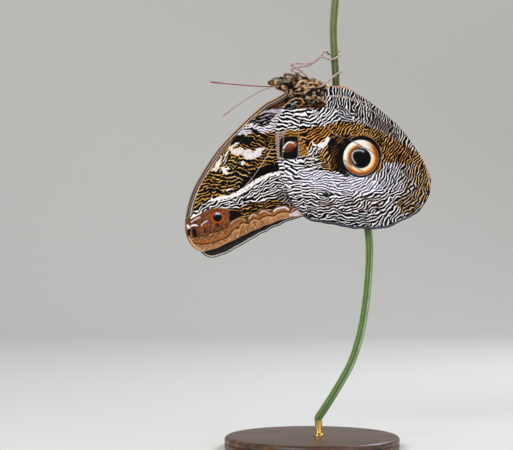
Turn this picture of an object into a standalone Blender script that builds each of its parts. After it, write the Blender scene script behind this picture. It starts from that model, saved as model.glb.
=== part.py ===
"""Owl butterfly at rest under a plant stem, as a life-size model on a small stand.

Frame: +Z up, origin at the centre of the stand base's underside.
The animal's mid-plane is Y = 0. Its head points to -X and its right side faces -Y.
It hangs with its legs up, and its four wings are shut over its back and hang down.
Sizes in the tables below are millimetres, and MM turns them to metres.
"""

from math import cos, exp, hypot, pi, radians, sin, sqrt

import bmesh
import bpy
import numpy as np
from mathutils import Vector
from mathutils.geometry import delaunay_2d_cdt

MM = 0.001
# Clearance that two touching pieces keep.
GAP = 0.3

# Stand: a turned wooden foot and a short rod that carries the stem's cut end.
BASE_RADIUS = 35.0
BASE_HEIGHT = 5.0
BASE_EDGE = 1.2
ROD_RADIUS = 1.5
STEM_FOOT = (2.6, 0.0, 11.2)

# Stem: its middle line from the cut lower end to the top.
STEM_RADIUS = 1.75
STEM_LINE = (
    STEM_FOOT,
    (2.7, 0.0, 12.4),
    (5.6, 0.9, 16.6),
    (11.4, 3.0, 25.6),
    (16.6, 4.8, 35.4),
    (20.6, 6.2, 49.4),
    (23.0, 6.8, 68.6),
    (23.1, 7.0, 85.0),
    (19.4, 7.0, 105.0),
    (14.2, 7.0, 125.0),
    (10.5, 6.8, 140.0),
    (9.6, 5.0, 150.5),
    (9.0, 4.6, 160.0),
    (8.7, 4.4, 169.0),
    (9.6, 4.2, 181.4),
)

# Body: middle of each form, its half sizes (length, width, height) and its tilt in degrees.
THORAX_MIDDLE = (-2.4, 0.0, 143.2)
THORAX_HALF = (8.4, 4.2, 5.6)
THORAX_TILT = 9.0
HEAD_MIDDLE = (-12.2, 0.0, 145.7)
HEAD_HALF = (2.6, 2.2, 2.9)
HEAD_TILT = -12.0
EYE_MIDDLE = (-12.2, 1.75, 146.8)
EYE_HALF = (1.45, 1.0, 1.6)
ABDOMEN_START = (2.6, 0.0, 141.9)
ABDOMEN_END = (26.8, 0.0, 129.2)
ABDOMEN_HALF_WIDTH = 3.0
ABDOMEN_HALF_HEIGHT = 3.2
ABDOMEN_RINGS = 7

# Wings: both pairs turn about one root. The angle is the wing's long axis from straight down.
WING_ROOT = (-4.4, 138.0)
FORE_ANGLE = -38.3
HIND_ANGLE = 33.0
# The far pair is shut a little less tightly: it is turned, and the hind wing hangs lower.
FAR_FORE_TURN = 2.8
FAR_HIND_DROP = 1.0
MEMBRANE = 0.5
VEIN_HEIGHT = 1.0
VEIN_HALF_WIDTH = 0.5
EDGE_STEP = 2.2
VEIN_STEP = 3.0
LATTICE_STEP = 5.5
# Distance of each wing's middle sheet from the mid-plane, and how the sheets leave it.
FORE_DEPTH = 1.05
HIND_DEPTH = 2.40
HIND_OUTER_DEPTH = 1.10
HIND_EASE = (9.0, 26.0)
ROOT_FLARE = 0.7
ROOT_SPREAD = 10.0
POCKET_DEPTH = 4.3
POCKET_SPREAD = 4.4
POCKET_FADE = (21.0, 31.0)
GUTTER_DEPTH = 0.70
GUTTER_WIDTH = 7.0

# Wing landmarks: distance along the wing from its root, and across it, positive to the rear.
FORE_OUTLINE = (
    (-2.4, -3.4), (-0.6, -6.8), (4.9, -9.1), (10.2, -11.3), (22.9, -13.5), (36.0, -14.5),
    (49.7, -13.2), (57.3, -11.3), (63.7, -8.3), (68.4, -5.0), (71.2, -1.2), (72.1, 2.6),
    (70.9, 6.0), (66.6, 9.3), (59.6, 12.9), (53.1, 16.0), (44.9, 20.6), (38.7, 24.9),
    (34.4, 28.7), (29.7, 32.1), (24.4, 32.4), (16.2, 25.2), (7.6, 14.2), (1.1, 4.4), (-2.2, 0.8),
)
FORE_VEINS = {
    "subcosta": ((3.0, -6.3), (12.3, -10.1), (24.5, -11.7), (35.3, -12.4), (47.3, -11.4)),
    "radius": ((3.5, -4.2), (14.1, -7.6), (26.8, -9.4), (39.0, -9.8), (51.7, -8.1), (62.6, -5.1), (69.0, -2.2)),
    "media_1": ((30.6, -9.4), (41.0, -7.0), (52.0, -4.6), (61.3, -0.9), (70.0, 4.2)),
    "media_2": ((29.6, -6.5), (41.0, -4.0), (51.0, -1.2), (60.0, 3.4), (66.6, 7.6)),
    "media_3": ((32.0, -2.6), (40.6, -0.8), (49.7, 2.6), (55.3, 6.5), (60.2, 11.4)),
    "cell_end": ((30.6, -9.4), (29.6, -6.5), (32.0, -2.6), (35.6, 2.1)),
    "cubitus": ((3.0, -1.2), (17.9, -0.1), (27.2, 1.6), (35.6, 2.1), (42.9, 4.2), (48.0, 8.6), (52.6, 14.8)),
    "cubitus_1": ((35.6, 2.1), (37.5, 8.7), (41.0, 14.5), (44.3, 19.6)),
    "cubitus_2": ((22.9, 0.7), (28.1, 10.9), (33.5, 18.8), (37.6, 24.0)),
    "anal": ((3.0, 3.0), (12.0, 13.1), (20.2, 22.6), (27.6, 30.4)),
}
HIND_OUTLINE = (
    (-3.0, 5.0), (-1.8, 0.7), (-2.9, -1.0), (-3.1, -3.7), (-2.2, -7.1), (0.5, -11.0), (3.5, -14.4),
    (7.8, -17.4), (13.2, -20.0), (20.1, -22.6), (26.5, -23.9), (33.2, -24.5), (38.6, -23.2),
    (42.9, -19.7), (47.3, -14.8), (52.4, -9.6), (56.0, -4.4), (58.9, 0.0), (60.3, 4.6), (60.8, 9.0),
    (61.4, 13.1), (61.1, 17.3), (58.9, 22.1), (56.5, 25.3), (52.8, 27.2), (46.1, 28.5), (39.0, 28.5),
    (30.0, 27.8), (20.1, 25.1), (10.7, 21.7), (4.6, 18.5), (1.3, 14.4), (-0.2, 11.8), (-1.0, 8.8),
)
HIND_VEINS = {
    "subcosta": ((1.5, -3.6), (4.5, -9.2), (9.1, -14.7), (16.9, -19.3), (26.6, -22.2), (34.0, -22.9)),
    "radius": ((3.0, -2.0), (10.1, -7.9), (20.0, -14.7), (29.5, -19.0), (37.0, -21.4)),
    "media_1": ((10.1, -7.9), (15.5, -7.7), (22.5, -9.4), (32.2, -14.3), (41.0, -18.6)),
    "media_2": ((18.8, -4.1), (25.7, -3.8), (35.5, -7.8), (46.0, -12.2)),
    "media_3": ((18.0, 3.5), (29.6, 0.8), (41.4, -0.6), (54.8, -2.6)),
    "cell_end": ((16.5, -7.8), (18.8, -4.1), (18.0, 3.5), (18.6, 5.4)),
    "cubitus_1": ((18.6, 5.4), (29.5, 5.4), (40.7, 7.4), (50.4, 9.4), (59.2, 10.4)),
    "cubitus_2": ((3.5, 1.8), (13.3, 2.8), (18.6, 5.4), (22.3, 7.7), (35.7, 14.5), (47.5, 19.2), (57.0, 21.4)),
    "anal_2": ((3.6, 5.4), (10.3, 9.8), (18.7, 15.3), (31.2, 22.4), (47.8, 25.6)),
    "anal_3": ((4.2, 10.6), (7.9, 15.2), (14.2, 20.3), (26.4, 24.8)),
}

# Limbs and feelers: middle-line landmarks with a radius each, from the root to the tip.
ANTENNAE = {
    "right": (
        (-13.2, -0.7, 145.2, 0.27), (-15.4, -1.7, 144.4, 0.27), (-20.8, -4.4, 142.3, 0.25),
        (-29.0, -9.0, 137.0, 0.25), (-33.6, -11.6, 133.4, 0.30), (-35.8, -12.8, 131.8, 0.24),
    ),
    "left": (
        (-13.2, 0.7, 145.2, 0.27), (-16.4, 1.8, 144.8, 0.27), (-20.2, 3.8, 144.9, 0.25),
        (-31.4, 9.4, 146.2, 0.25), (-38.2, 12.2, 147.1, 0.30), (-41.5, 13.4, 147.6, 0.24),
    ),
}
PALP = (
    (-13.0, 0.60, 147.3, 0.80), (-14.6, 0.78, 147.3, 0.82), (-16.0, 0.74, 146.7, 0.66), (-17.4, 0.55, 145.8, 0.30),
)
FORE_LEG = (
    (-9.0, 1.0, 146.6, 0.4), (-10.9, 1.7, 148.9, 0.4), (-10.5, 2.1, 149.5, 0.38), (-8.6, 2.5, 149.4, 0.38),
    (-7.2, 2.8, 149.0, 0.26),
)
LEGS = {
    "leg_mid_right": (
        (-0.4, -1.5, 147.0, 0.42), (-4.4, -2.8, 150.5, 0.4), (-8.1, -4.0, 152.6, 0.36),
        (-8.4, -3.9, 153.1, 0.36), (-6.2, -3.2, 153.6, 0.34), (-0.9, -1.1, 153.8, 0.32),
        (2.4, 0.5, 156.0, 0.28), (4.6, 1.6, 156.6, 0.27), (6.6, 2.0, 155.8, 0.27), (8.8, 2.2, 155.8, 0.27),
        (10.7, 2.9, 157.0, 0.27), (11.9, 4.3, 158.6, 0.26), (11.2, 6.0, 159.2, 0.24),
    ),
    "leg_mid_left": (
        (-1.9, 1.6, 147.0, 0.42), (-5.2, 2.9, 150.0, 0.4), (-7.6, 4.0, 151.3, 0.36),
        (-7.9, 4.0, 151.9, 0.36), (-6.0, 4.0, 152.6, 0.34), (-1.0, 3.8, 153.5, 0.32),
        (2.2, 3.9, 155.6, 0.28), (3.9, 4.2, 157.6, 0.27), (4.8, 4.6, 158.9, 0.27), (6.0, 5.6, 159.1, 0.27),
        (6.8, 6.9, 158.4, 0.26), (8.2, 7.4, 157.9, 0.24),
    ),
    "leg_hind_right": (
        (0.8, -1.6, 142.4, 0.4), (3.5, -3.2, 144.3, 0.38), (6.6, -1.2, 146.9, 0.34), (9.4, 1.6, 149.3, 0.3),
        (11.2, 3.1, 150.7, 0.28), (12.0, 4.6, 151.1, 0.27), (11.6, 6.4, 151.0, 0.25), (10.4, 7.5, 150.8, 0.24),
    ),
    "leg_hind_left": (
        (0.8, 1.6, 142.6, 0.4), (3.4, 3.4, 144.4, 0.38), (5.4, 5.4, 146.2, 0.34), (6.9, 7.4, 147.7, 0.3),
        (8.4, 8.1, 149.0, 0.28), (10.0, 8.0, 149.9, 0.27), (11.4, 7.4, 150.0, 0.24),
    ),
}

# Finishes: linear colour, roughness, metallic.
FINISHES = {
    "wood": ((0.045, 0.028, 0.018), 0.45, 0.0),
    "brass": ((0.60, 0.42, 0.16), 0.30, 1.0),
    "stem_green": ((0.13, 0.20, 0.04), 0.50, 0.0),
    "body_scales": ((0.16, 0.09, 0.04), 0.85, 0.0),
    "eye_olive": ((0.08, 0.07, 0.04), 0.20, 0.0),
    "feeler_red": ((0.20, 0.05, 0.04), 0.50, 0.0),
    "leg_beige": ((0.45, 0.33, 0.28), 0.60, 0.0),
    "wing_scales": ((0.36, 0.30, 0.24), 0.80, 0.0),
}


def metres(point):
    """Millimetres to metres."""
    return Vector(point[:3]) * MM


def smooth(t):
    """Ease from 0 to 1 with level ends."""
    t = min(max(t, 0.0), 1.0)
    return t * t * (3.0 - 2.0 * t)


def smooth_line(landmarks, step, closed=False):
    """Catmull-Rom curve through landmarks of any width, one sample about every step."""
    marks = np.array(landmarks, float)
    count = len(marks)
    if closed:
        marks = np.vstack([marks[-1], marks, marks[:2]])
        spans = count
    else:
        marks = np.vstack([2 * marks[0] - marks[1], marks, 2 * marks[-1] - marks[-2]])
        spans = count - 1
    samples = []
    for i in range(spans):
        a, b, c, d = marks[i:i + 4]
        length = float(np.linalg.norm((c - b)[:3]))
        pieces = max(1, round(length / step))
        for k in range(pieces):
            t = k / pieces
            curve = (2 * b + (c - a) * t + (2 * a - 5 * b + 4 * c - d) * t ** 2
                     + (3 * b - a - 3 * c + d) * t ** 3)
            samples.append(curve / 2)
    if not closed:
        samples.append(marks[-2])
    return np.array(samples)


def finish(name):
    """Principled material of one of the finishes."""
    made = bpy.data.materials.get(name)
    if made:
        return made
    colour, roughness, metallic = FINISHES[name]
    made = bpy.data.materials.new(name)
    made.use_nodes = True
    shader = made.node_tree.nodes["Principled BSDF"]
    shader.inputs["Base Color"].default_value = (*colour, 1.0)
    shader.inputs["Roughness"].default_value = roughness
    shader.inputs["Metallic"].default_value = metallic
    return made


def new_collection(name):
    """Collection under the scene's own."""
    made = bpy.data.collections.new(name)
    bpy.context.scene.collection.children.link(made)
    return made


def placed(name, mesh, collection, material=None):
    """Object with its own mesh, in its collection, smooth except at sharp edges."""
    obj = bpy.data.objects.new(name, mesh)
    collection.objects.link(obj)
    mesh.polygons.foreach_set("use_smooth", [True] * len(mesh.polygons))
    mesh.set_sharp_from_angle(angle=radians(40))
    if material:
        mesh.materials.append(finish(material))
    return obj


def bake_modifiers(obj):
    """Replace the object's mesh by what its modifiers make of it."""
    bpy.context.view_layer.update()
    evaluated = obj.evaluated_get(bpy.context.evaluated_depsgraph_get())
    obj.data = bpy.data.meshes.new_from_object(evaluated)
    obj.modifiers.clear()


def keep_largest(obj):
    """Drop all but the connected surface with the most faces."""
    bm = bmesh.new()
    bm.from_mesh(obj.data)
    islands = []
    left = set(bm.faces)
    while left:
        island = {left.pop()}
        edge_of = list(island)
        while edge_of:
            face = edge_of.pop()
            near = {other for edge in face.edges for other in edge.link_faces}
            fresh = near & left
            left -= fresh
            island |= fresh
            edge_of.extend(fresh)
        islands.append(island)
    islands.sort(key=len)
    scraps = [face for island in islands[:-1] for face in island]
    bmesh.ops.delete(bm, geom=scraps, context="FACES")
    bm.to_mesh(obj.data)
    bm.free()


def cut_by(obj, *tools):
    """Take the cutters out of the object and keep its main body."""
    for tool in tools:
        cut = obj.modifiers.new("clear of " + tool.name, "BOOLEAN")
        cut.operation = "DIFFERENCE"
        cut.object = tool
    bake_modifiers(obj)
    keep_largest(obj)


def as_cutter(obj):
    """Guide object that is not part of the model."""
    obj.hide_render = True
    obj.display_type = "WIRE"
    return obj


def oval(name, middle, half, tilt, profile, rings, segments, collection, material=None, grow=0.0):
    """Round body along its own X axis, whose girth follows profile(t) for t from -1 to 1."""
    bm = bmesh.new()
    bmesh.ops.create_uvsphere(bm, u_segments=segments, v_segments=rings, radius=1.0)
    length, width, height = ((size + grow) * MM for size in half)
    for vert in bm.verts:
        t = vert.co.z
        ring = hypot(vert.co.x, vert.co.y)
        girth = profile(t) / ring if ring > 1e-4 else 0.0
        vert.co = (t * length, vert.co.y * girth * width, -vert.co.x * girth * height)
    mesh = bpy.data.meshes.new(name)
    bm.to_mesh(mesh)
    bm.free()
    obj = placed(name, mesh, collection, material)
    obj.location = metres(middle)
    obj.rotation_euler = (0.0, radians(tilt), 0.0)
    return obj


def round_girth(t):
    """Plain ellipse."""
    return sqrt(max(0.0, 1.0 - t * t))


def full_girth(t):
    """Oval with fuller ends, as a thorax has."""
    return sqrt(max(0.0, 1.0 - abs(t) ** 2.5))


def ringed_girth(t):
    """Abdomen: widest before the middle, tapered to its tip, with shallow ring grooves."""
    ends = sqrt(max(0.0, 1.0 - abs(t) ** 3.0))
    taper = 1.0 - 0.10 * (t + 0.2) ** 2 - 0.12 * max(0.0, t)
    groove = 1.0 - 0.03 * (0.5 + 0.5 * cos(pi * ABDOMEN_RINGS * (t + 1.0)))
    return ends * taper * groove


def tube(name, landmarks, step, collection, material, resolution=2):
    """Round limb of changing radius: a POLY curve made a mesh with its caps welded."""
    samples = smooth_line(landmarks, step)
    curve = bpy.data.curves.new(name, "CURVE")
    curve.dimensions = "3D"
    curve.bevel_depth = MM
    curve.bevel_resolution = resolution
    curve.use_fill_caps = True
    spline = curve.splines.new("POLY")
    spline.points.add(len(samples) - 1)
    for point, sample in zip(spline.points, samples):
        point.co = (*metres(sample), 1.0)
        point.radius = sample[3]
    guide = bpy.data.objects.new(name + "_curve", curve)
    collection.objects.link(guide)
    bpy.context.view_layer.update()
    evaluated = guide.evaluated_get(bpy.context.evaluated_depsgraph_get())
    mesh = bpy.data.meshes.new_from_object(evaluated)
    mesh.name = name
    bm = bmesh.new()
    bm.from_mesh(mesh)
    bmesh.ops.remove_doubles(bm, verts=bm.verts, dist=1e-6)
    bm.to_mesh(mesh)
    bm.free()
    mesh.materials.clear()
    bpy.data.objects.remove(guide)
    return placed(name, mesh, collection, material)


def mirrored(landmarks):
    """The same landmarks on the animal's right side, at -Y."""
    return tuple((x, -y, *rest) for x, y, *rest in landmarks)


def abdomen_place(x, z):
    """Distance along the abdomen from its start, and above its middle line."""
    run = (ABDOMEN_END[0] - ABDOMEN_START[0], ABDOMEN_END[2] - ABDOMEN_START[2])
    length = hypot(*run)
    dx = x - ABDOMEN_START[0]
    dz = z - ABDOMEN_START[2]
    return (dx * run[0] + dz * run[1]) / length, (dz * run[0] - dx * run[1]) / length


def root_flare(x, z):
    """How far the sheets spread apart where they leave the thorax."""
    away = hypot(x - THORAX_MIDDLE[0], z - THORAX_MIDDLE[2])
    return ROOT_FLARE * exp(-((away / ROOT_SPREAD) ** 2))


def fore_depth(x, z):
    """Distance of a fore wing's middle sheet from the mid-plane."""
    return FORE_DEPTH + root_flare(x, z)


def hind_depth(x, z):
    """As fore_depth: outside the fore wing, round the abdomen, and closing at the inner edge."""
    along, above = abdomen_place(x, z)
    ease = smooth((x - HIND_EASE[0]) / (HIND_EASE[1] - HIND_EASE[0]))
    sheet = HIND_DEPTH + (HIND_OUTER_DEPTH - HIND_DEPTH) * ease
    sheet += (GUTTER_DEPTH - sheet) * smooth(above / GUTTER_WIDTH)
    sheet += root_flare(x, z)
    fade = 1.0 - smooth((along - POCKET_FADE[0]) / (POCKET_FADE[1] - POCKET_FADE[0]))
    pocket = exp(-((above / POCKET_SPREAD) ** 2)) * fade
    return sheet + max(0.0, POCKET_DEPTH - sheet) * pocket


def distance_to_line(point, line):
    """Shortest distance from a 2D point to a polyline."""
    starts = line[:-1]
    runs = line[1:] - starts
    along = np.einsum("ij,ij->i", point - starts, runs) / np.einsum("ij,ij->i", runs, runs)
    nearest = starts + runs * np.clip(along, 0.0, 1.0)[:, None]
    return float(np.min(np.linalg.norm(point - nearest, axis=1)))


def inside(point, outline):
    """Even-odd test of a point in a closed outline."""
    ahead = np.roll(outline, -1, axis=0)
    spans = (outline[:, 1] > point[1]) != (ahead[:, 1] > point[1])
    slope = (ahead[:, 0] - outline[:, 0]) / np.where(spans, ahead[:, 1] - outline[:, 1], 1.0)
    crossing = outline[:, 0] + (point[1] - outline[:, 1]) * slope
    return bool(np.count_nonzero(spans & (crossing > point[0])) % 2)


def vein_lines(vein):
    """Middle line of a vein and the feet of its two slopes, all sampled alike."""
    middle = smooth_line(vein, VEIN_STEP)
    ahead = np.gradient(middle, axis=0)
    ahead /= np.linalg.norm(ahead, axis=1)[:, None]
    side = np.stack([-ahead[:, 1], ahead[:, 0]], axis=1) * VEIN_HALF_WIDTH
    return middle, middle + side, middle - side


def wing(name, outline, veins, angle, drop, depth, sign, collection):
    """Wing as a triangulated sheet with Solidify, thicker along its veins.

    The sheet is laid out flat from its outline and veins, turned by its angle about the root,
    and lifted to its distance from the mid-plane on the side that sign gives.
    """
    edge = smooth_line(outline, EDGE_STEP, closed=True)
    lines = [vein_lines(vein) for vein in veins.values()]
    points = [Vector(point) for point in edge]
    edges = [(i, (i + 1) % len(edge)) for i in range(len(edge))]
    for group in lines:
        for line in group:
            first = len(points)
            points.extend(Vector(point) for point in line)
            edges.extend((first + i, first + i + 1) for i in range(len(line) - 1))
    middles = [group[0] for group in lines]
    rim = np.vstack([edge, edge[:1]])
    low = edge.min(axis=0)
    high = edge.max(axis=0)
    rows = int((high[0] - low[0]) / LATTICE_STEP)
    columns = int((high[1] - low[1]) / LATTICE_STEP)
    for row in range(rows + 1):
        for column in range(columns + 1):
            spot = low + LATTICE_STEP * np.array((row + 0.5, column + 0.5 * (row % 2)))
            clear = min(distance_to_line(spot, line) for line in middles + [rim])
            if clear > 0.4 * LATTICE_STEP and inside(spot, edge):
                points.append(Vector(spot))
    flat, _, faces, *_ = delaunay_2d_cdt(points, edges, [], 1, 1e-5)
    turn = radians(angle)
    corners = []
    heights = []
    for spot in flat:
        x = WING_ROOT[0] + spot.x * sin(turn) + spot.y * cos(turn)
        z = WING_ROOT[1] - spot.x * cos(turn) + spot.y * sin(turn) - drop
        corners.append((x * MM, sign * depth(x, z) * MM, z * MM))
        near = min(distance_to_line(np.array(spot), line) for line in middles)
        heights.append(1.0 - smooth(near / VEIN_HALF_WIDTH))
    mesh = bpy.data.meshes.new(name)
    mesh.from_pydata(corners, [], faces)
    obj = placed(name, mesh, collection, "wing_scales")
    group = obj.vertex_groups.new(name="veins")
    for index, height in enumerate(heights):
        group.add([index], height, "REPLACE")
    solid = obj.modifiers.new("membrane", "SOLIDIFY")
    solid.thickness = VEIN_HEIGHT * MM
    solid.offset = 0.0
    solid.vertex_group = group.name
    solid.thickness_vertex_group = MEMBRANE / VEIN_HEIGHT
    bake_modifiers(obj)
    return obj


def stand(collection):
    """Turned foot with an eased edge, and the short rod under the stem."""
    bpy.ops.mesh.primitive_cylinder_add(
        vertices=48, radius=BASE_RADIUS * MM, depth=BASE_HEIGHT * MM,
        location=(0.0, 0.0, BASE_HEIGHT * MM / 2),
    )
    base = bpy.context.object
    base.name = "stand_base"
    bevel = base.modifiers.new("eased edge", "BEVEL")
    bevel.width = BASE_EDGE * MM
    bevel.segments = 2
    bevel.limit_method = "ANGLE"
    low = BASE_HEIGHT + GAP
    high = STEM_FOOT[2] - GAP
    bpy.ops.mesh.primitive_cylinder_add(
        vertices=24, radius=ROD_RADIUS * MM, depth=(high - low) * MM,
        location=metres((STEM_FOOT[0], STEM_FOOT[1], (low + high) / 2)),
    )
    rod = bpy.context.object
    rod.name = "stand_rod"
    for obj, material in ((base, "wood"), (rod, "brass")):
        for old in obj.users_collection:
            old.objects.unlink(obj)
        collection.objects.link(obj)
        obj.data.name = obj.name
        obj.data.materials.append(finish(material))
        obj.data.polygons.foreach_set("use_smooth", [True] * len(obj.data.polygons))
        obj.data.set_sharp_from_angle(angle=radians(40))


def stem(collection):
    """Length of green stem, whose first run is upright so that its foot is cut level."""
    line = [(*point, STEM_RADIUS) for point in STEM_LINE]
    tube("stem", line, 6.0, collection, "stem_green", resolution=4)


def body(collection, cutters):
    """Thorax, abdomen, head, eyes and palps, each clear of what it grows from."""
    thorax = ("thorax", THORAX_MIDDLE, THORAX_HALF, THORAX_TILT, full_girth, 16, 24)
    oval(*thorax, collection, "body_scales")
    thorax_tool = as_cutter(oval("cut_" + thorax[0], *thorax[1:], cutters, grow=GAP))

    run = Vector(ABDOMEN_END) - Vector(ABDOMEN_START)
    middle = (Vector(ABDOMEN_END) + Vector(ABDOMEN_START)) / 2
    half = (run.length / 2, ABDOMEN_HALF_WIDTH, ABDOMEN_HALF_HEIGHT)
    tilt = -np.degrees(np.arctan2(run.z, run.x))
    abdomen = oval("abdomen", middle, half, tilt, ringed_girth, 28, 16, collection, "body_scales")
    cut_by(abdomen, thorax_tool)

    eye_tools = []
    for side, sign in (("right", -1), ("left", 1)):
        place = (EYE_MIDDLE[0], sign * EYE_MIDDLE[1], EYE_MIDDLE[2])
        eye = ("eye_" + side, place, EYE_HALF, HEAD_TILT, round_girth, 10, 16)
        oval(*eye, collection, "eye_olive")
        eye_tools.append(as_cutter(oval("cut_" + eye[0], *eye[1:], cutters, grow=GAP)))
    head = ("head", HEAD_MIDDLE, HEAD_HALF, HEAD_TILT, round_girth, 12, 18)
    cut_by(oval(*head, collection, "body_scales"), thorax_tool, *eye_tools)
    head_tool = as_cutter(oval("cut_" + head[0], *head[1:], cutters, grow=GAP))
    return thorax_tool, head_tool, eye_tools


def limbs(collection, thorax_tool, head_tool, eye_tools):
    """Palps and feelers on the head, six legs on the thorax."""
    for side, palp in (("right", mirrored(PALP)), ("left", PALP)):
        made = tube("palp_" + side, palp, 0.9, collection, "body_scales")
        cut_by(made, head_tool, *eye_tools)
        made = tube("antenna_" + side, ANTENNAE[side], 2.6, collection, "feeler_red")
        cut_by(made, head_tool, *eye_tools)
    legs = {"leg_fore_right": mirrored(FORE_LEG), "leg_fore_left": FORE_LEG, **LEGS}
    for name, line in legs.items():
        cut_by(tube(name, line, 1.1, collection, "leg_beige"), thorax_tool)


def wings(collection, thorax_tool):
    """Two pairs of wings: the hind pair lies outside the fore pair."""
    for side, sign, turn, drop in (("right", -1, 0.0, 0.0), ("left", 1, FAR_FORE_TURN, FAR_HIND_DROP)):
        fore = wing(
            "wing_fore_" + side, FORE_OUTLINE, FORE_VEINS, FORE_ANGLE + turn, 0.0,
            fore_depth, sign, collection,
        )
        hind = wing(
            "wing_hind_" + side, HIND_OUTLINE, HIND_VEINS, HIND_ANGLE, drop,
            hind_depth, sign, collection,
        )
        cut_by(fore, thorax_tool)
        cut_by(hind, thorax_tool)


def build():
    """Clear the scene and make the model."""
    for old in list(bpy.data.objects):
        bpy.data.objects.remove(old)
    collection = new_collection("owl_butterfly")
    cutters = new_collection("cutters")
    stand(collection)
    stem(collection)
    tools = body(collection, cutters)
    limbs(collection, *tools)
    wings(collection, tools[0])


build()
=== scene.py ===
"""Owl butterfly on a cut stem: the looks of every surface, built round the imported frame.

The frame's +Z is up, the animal's mid-plane is Y = 0, its head points to -X and its right side to -Y.
It hangs with its legs up, and its four wings are shut over its back and hang down.
Sizes in the tables are millimetres, and MM turns them to metres. Markings are drawn in pixels of the
drawing, which PIXEL and PIXEL_ORIGIN place on the wings.
"""

from math import pi, radians
from types import SimpleNamespace

import bpy
import numpy as np
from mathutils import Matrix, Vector
from bpy.props import FloatProperty, FloatVectorProperty, IntProperty, PointerProperty


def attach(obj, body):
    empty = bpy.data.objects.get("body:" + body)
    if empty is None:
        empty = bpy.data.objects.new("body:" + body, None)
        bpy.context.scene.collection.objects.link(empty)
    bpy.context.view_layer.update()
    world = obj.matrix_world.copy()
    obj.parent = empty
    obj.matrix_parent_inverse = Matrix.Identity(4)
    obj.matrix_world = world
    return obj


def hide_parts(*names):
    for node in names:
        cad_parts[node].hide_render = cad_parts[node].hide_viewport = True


bl_info = {
    "name": "Owl Butterfly Display Model",
    "version": (1, 0, 0),
    "blender": (4, 5, 0),
    "location": "View3D > Sidebar > Butterfly",
    "description": "Builds a life-size owl butterfly on a cut stem and a small stand",
    "category": "Object",
}

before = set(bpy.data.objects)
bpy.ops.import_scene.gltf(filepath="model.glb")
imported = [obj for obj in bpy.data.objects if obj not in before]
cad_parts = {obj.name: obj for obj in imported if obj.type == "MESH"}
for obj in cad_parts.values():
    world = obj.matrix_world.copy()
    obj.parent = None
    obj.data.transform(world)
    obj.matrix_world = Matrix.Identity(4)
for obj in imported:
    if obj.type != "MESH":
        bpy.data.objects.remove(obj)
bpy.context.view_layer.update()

MM = 0.001
SEED = 7
SHARP_ANGLE = 55.0
SIDES = {"right": -1.0, "left": 1.0}

# Body: middle of each form, its half sizes (length, width, height) and its tilt in degrees.
THORAX = ((-2.4, 0.0, 143.2), (8.4, 4.2, 5.6), 9.0)
HEAD = ((-12.2, 0.0, 145.7), (2.6, 2.2, 2.9), -12.0)
EYE_MIDDLE = (-12.2, 1.75, 146.5)
EYE_HALF = (1.15, 1.0, 1.10)
ABDOMEN_START = (2.6, 141.9)
ABDOMEN_END = (26.8, 129.2)
ABDOMEN_HALF = (3.0, 3.2)
ABDOMEN_RINGS = 7
ABDOMEN_BAND = 3.9
SPINE_RINGS = 221
SPINE = (
    (-14.7, 146.5), (-13.4, 146.0), (-12.2, 145.7), (-9.8, 145.0), (-6.0, 143.9), (-2.4, 143.2),
    (2.2, 142.3), (6.0, 140.3), (11.0, 137.5), (17.0, 134.3), (22.5, 131.4), (26.7, 129.25),
)

# Wings: both pairs turn about one root. The angle is the wing's long axis from straight down.
WING_ROOT = (-4.4, 138.0)
FORE_ANGLE = -38.3
HIND_ANGLE = 33.0
FAR_FORE_TURN = 3.9
FAR_HIND_DROP = 1.0
FORE_DEPTH = 1.05
HIND_DEPTH = 2.40
HIND_OUTER_DEPTH = 1.10
HIND_EASE = (9.0, 26.0)
ROOT_FLARE = 0.7
ROOT_SPREAD = 10.0
POCKET_DEPTH = 4.3
POCKET_SPREAD = 4.4
POCKET_FADE = (21.0, 31.0)
GUTTER_DEPTH = 0.70
GUTTER_WIDTH = 7.0

# Wing landmarks: distance along the wing from its root, and across it, positive to the rear.
FORE_OUTLINE = (
    (-2.4, -3.4), (-0.6, -6.8), (4.9, -9.1), (10.2, -11.3), (22.9, -13.5), (36.0, -14.5),
    (49.7, -13.2), (57.3, -11.3), (63.7, -8.3), (68.4, -5.0), (71.2, -1.2), (72.1, 2.6),
    (70.9, 6.0), (66.6, 9.3), (59.6, 12.9), (53.1, 16.0), (44.9, 20.6), (38.7, 24.9),
    (34.4, 28.7), (29.7, 32.1), (24.4, 32.4), (16.2, 25.2), (7.6, 14.2), (1.1, 4.4), (-2.2, 0.8),
)
FORE_VEINS = {
    "subcosta": ((3.0, -6.3), (12.3, -10.1), (24.5, -11.7), (35.3, -12.4), (47.3, -11.4)),
    "radius": ((3.5, -4.2), (14.1, -7.6), (26.8, -9.4), (39.0, -9.8), (51.7, -8.1), (62.6, -5.1),
               (69.0, -2.2)),
    "media_1": ((30.6, -9.4), (41.0, -7.0), (52.0, -4.6), (61.3, -0.9), (70.0, 4.2)),
    "media_2": ((29.6, -6.5), (41.0, -4.0), (51.0, -1.2), (60.0, 3.4), (66.6, 7.6)),
    "media_3": ((32.0, -2.6), (40.6, -0.8), (49.7, 2.6), (55.3, 6.5), (60.2, 11.4)),
    "cell_end": ((30.6, -9.4), (29.6, -6.5), (32.0, -2.6), (35.6, 2.1)),
    "cubitus": ((3.0, -1.2), (17.9, -0.1), (27.2, 1.6), (35.6, 2.1), (42.9, 4.2), (48.0, 8.6), (52.6, 14.8)),
    "cubitus_1": ((35.6, 2.1), (37.5, 8.7), (41.0, 14.5), (44.3, 19.6)),
    "cubitus_2": ((22.9, 0.7), (28.1, 10.9), (33.5, 18.8), (37.6, 24.0)),
    "anal": ((3.0, 3.0), (12.0, 13.1), (20.2, 22.6), (27.6, 30.4)),
}
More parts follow.
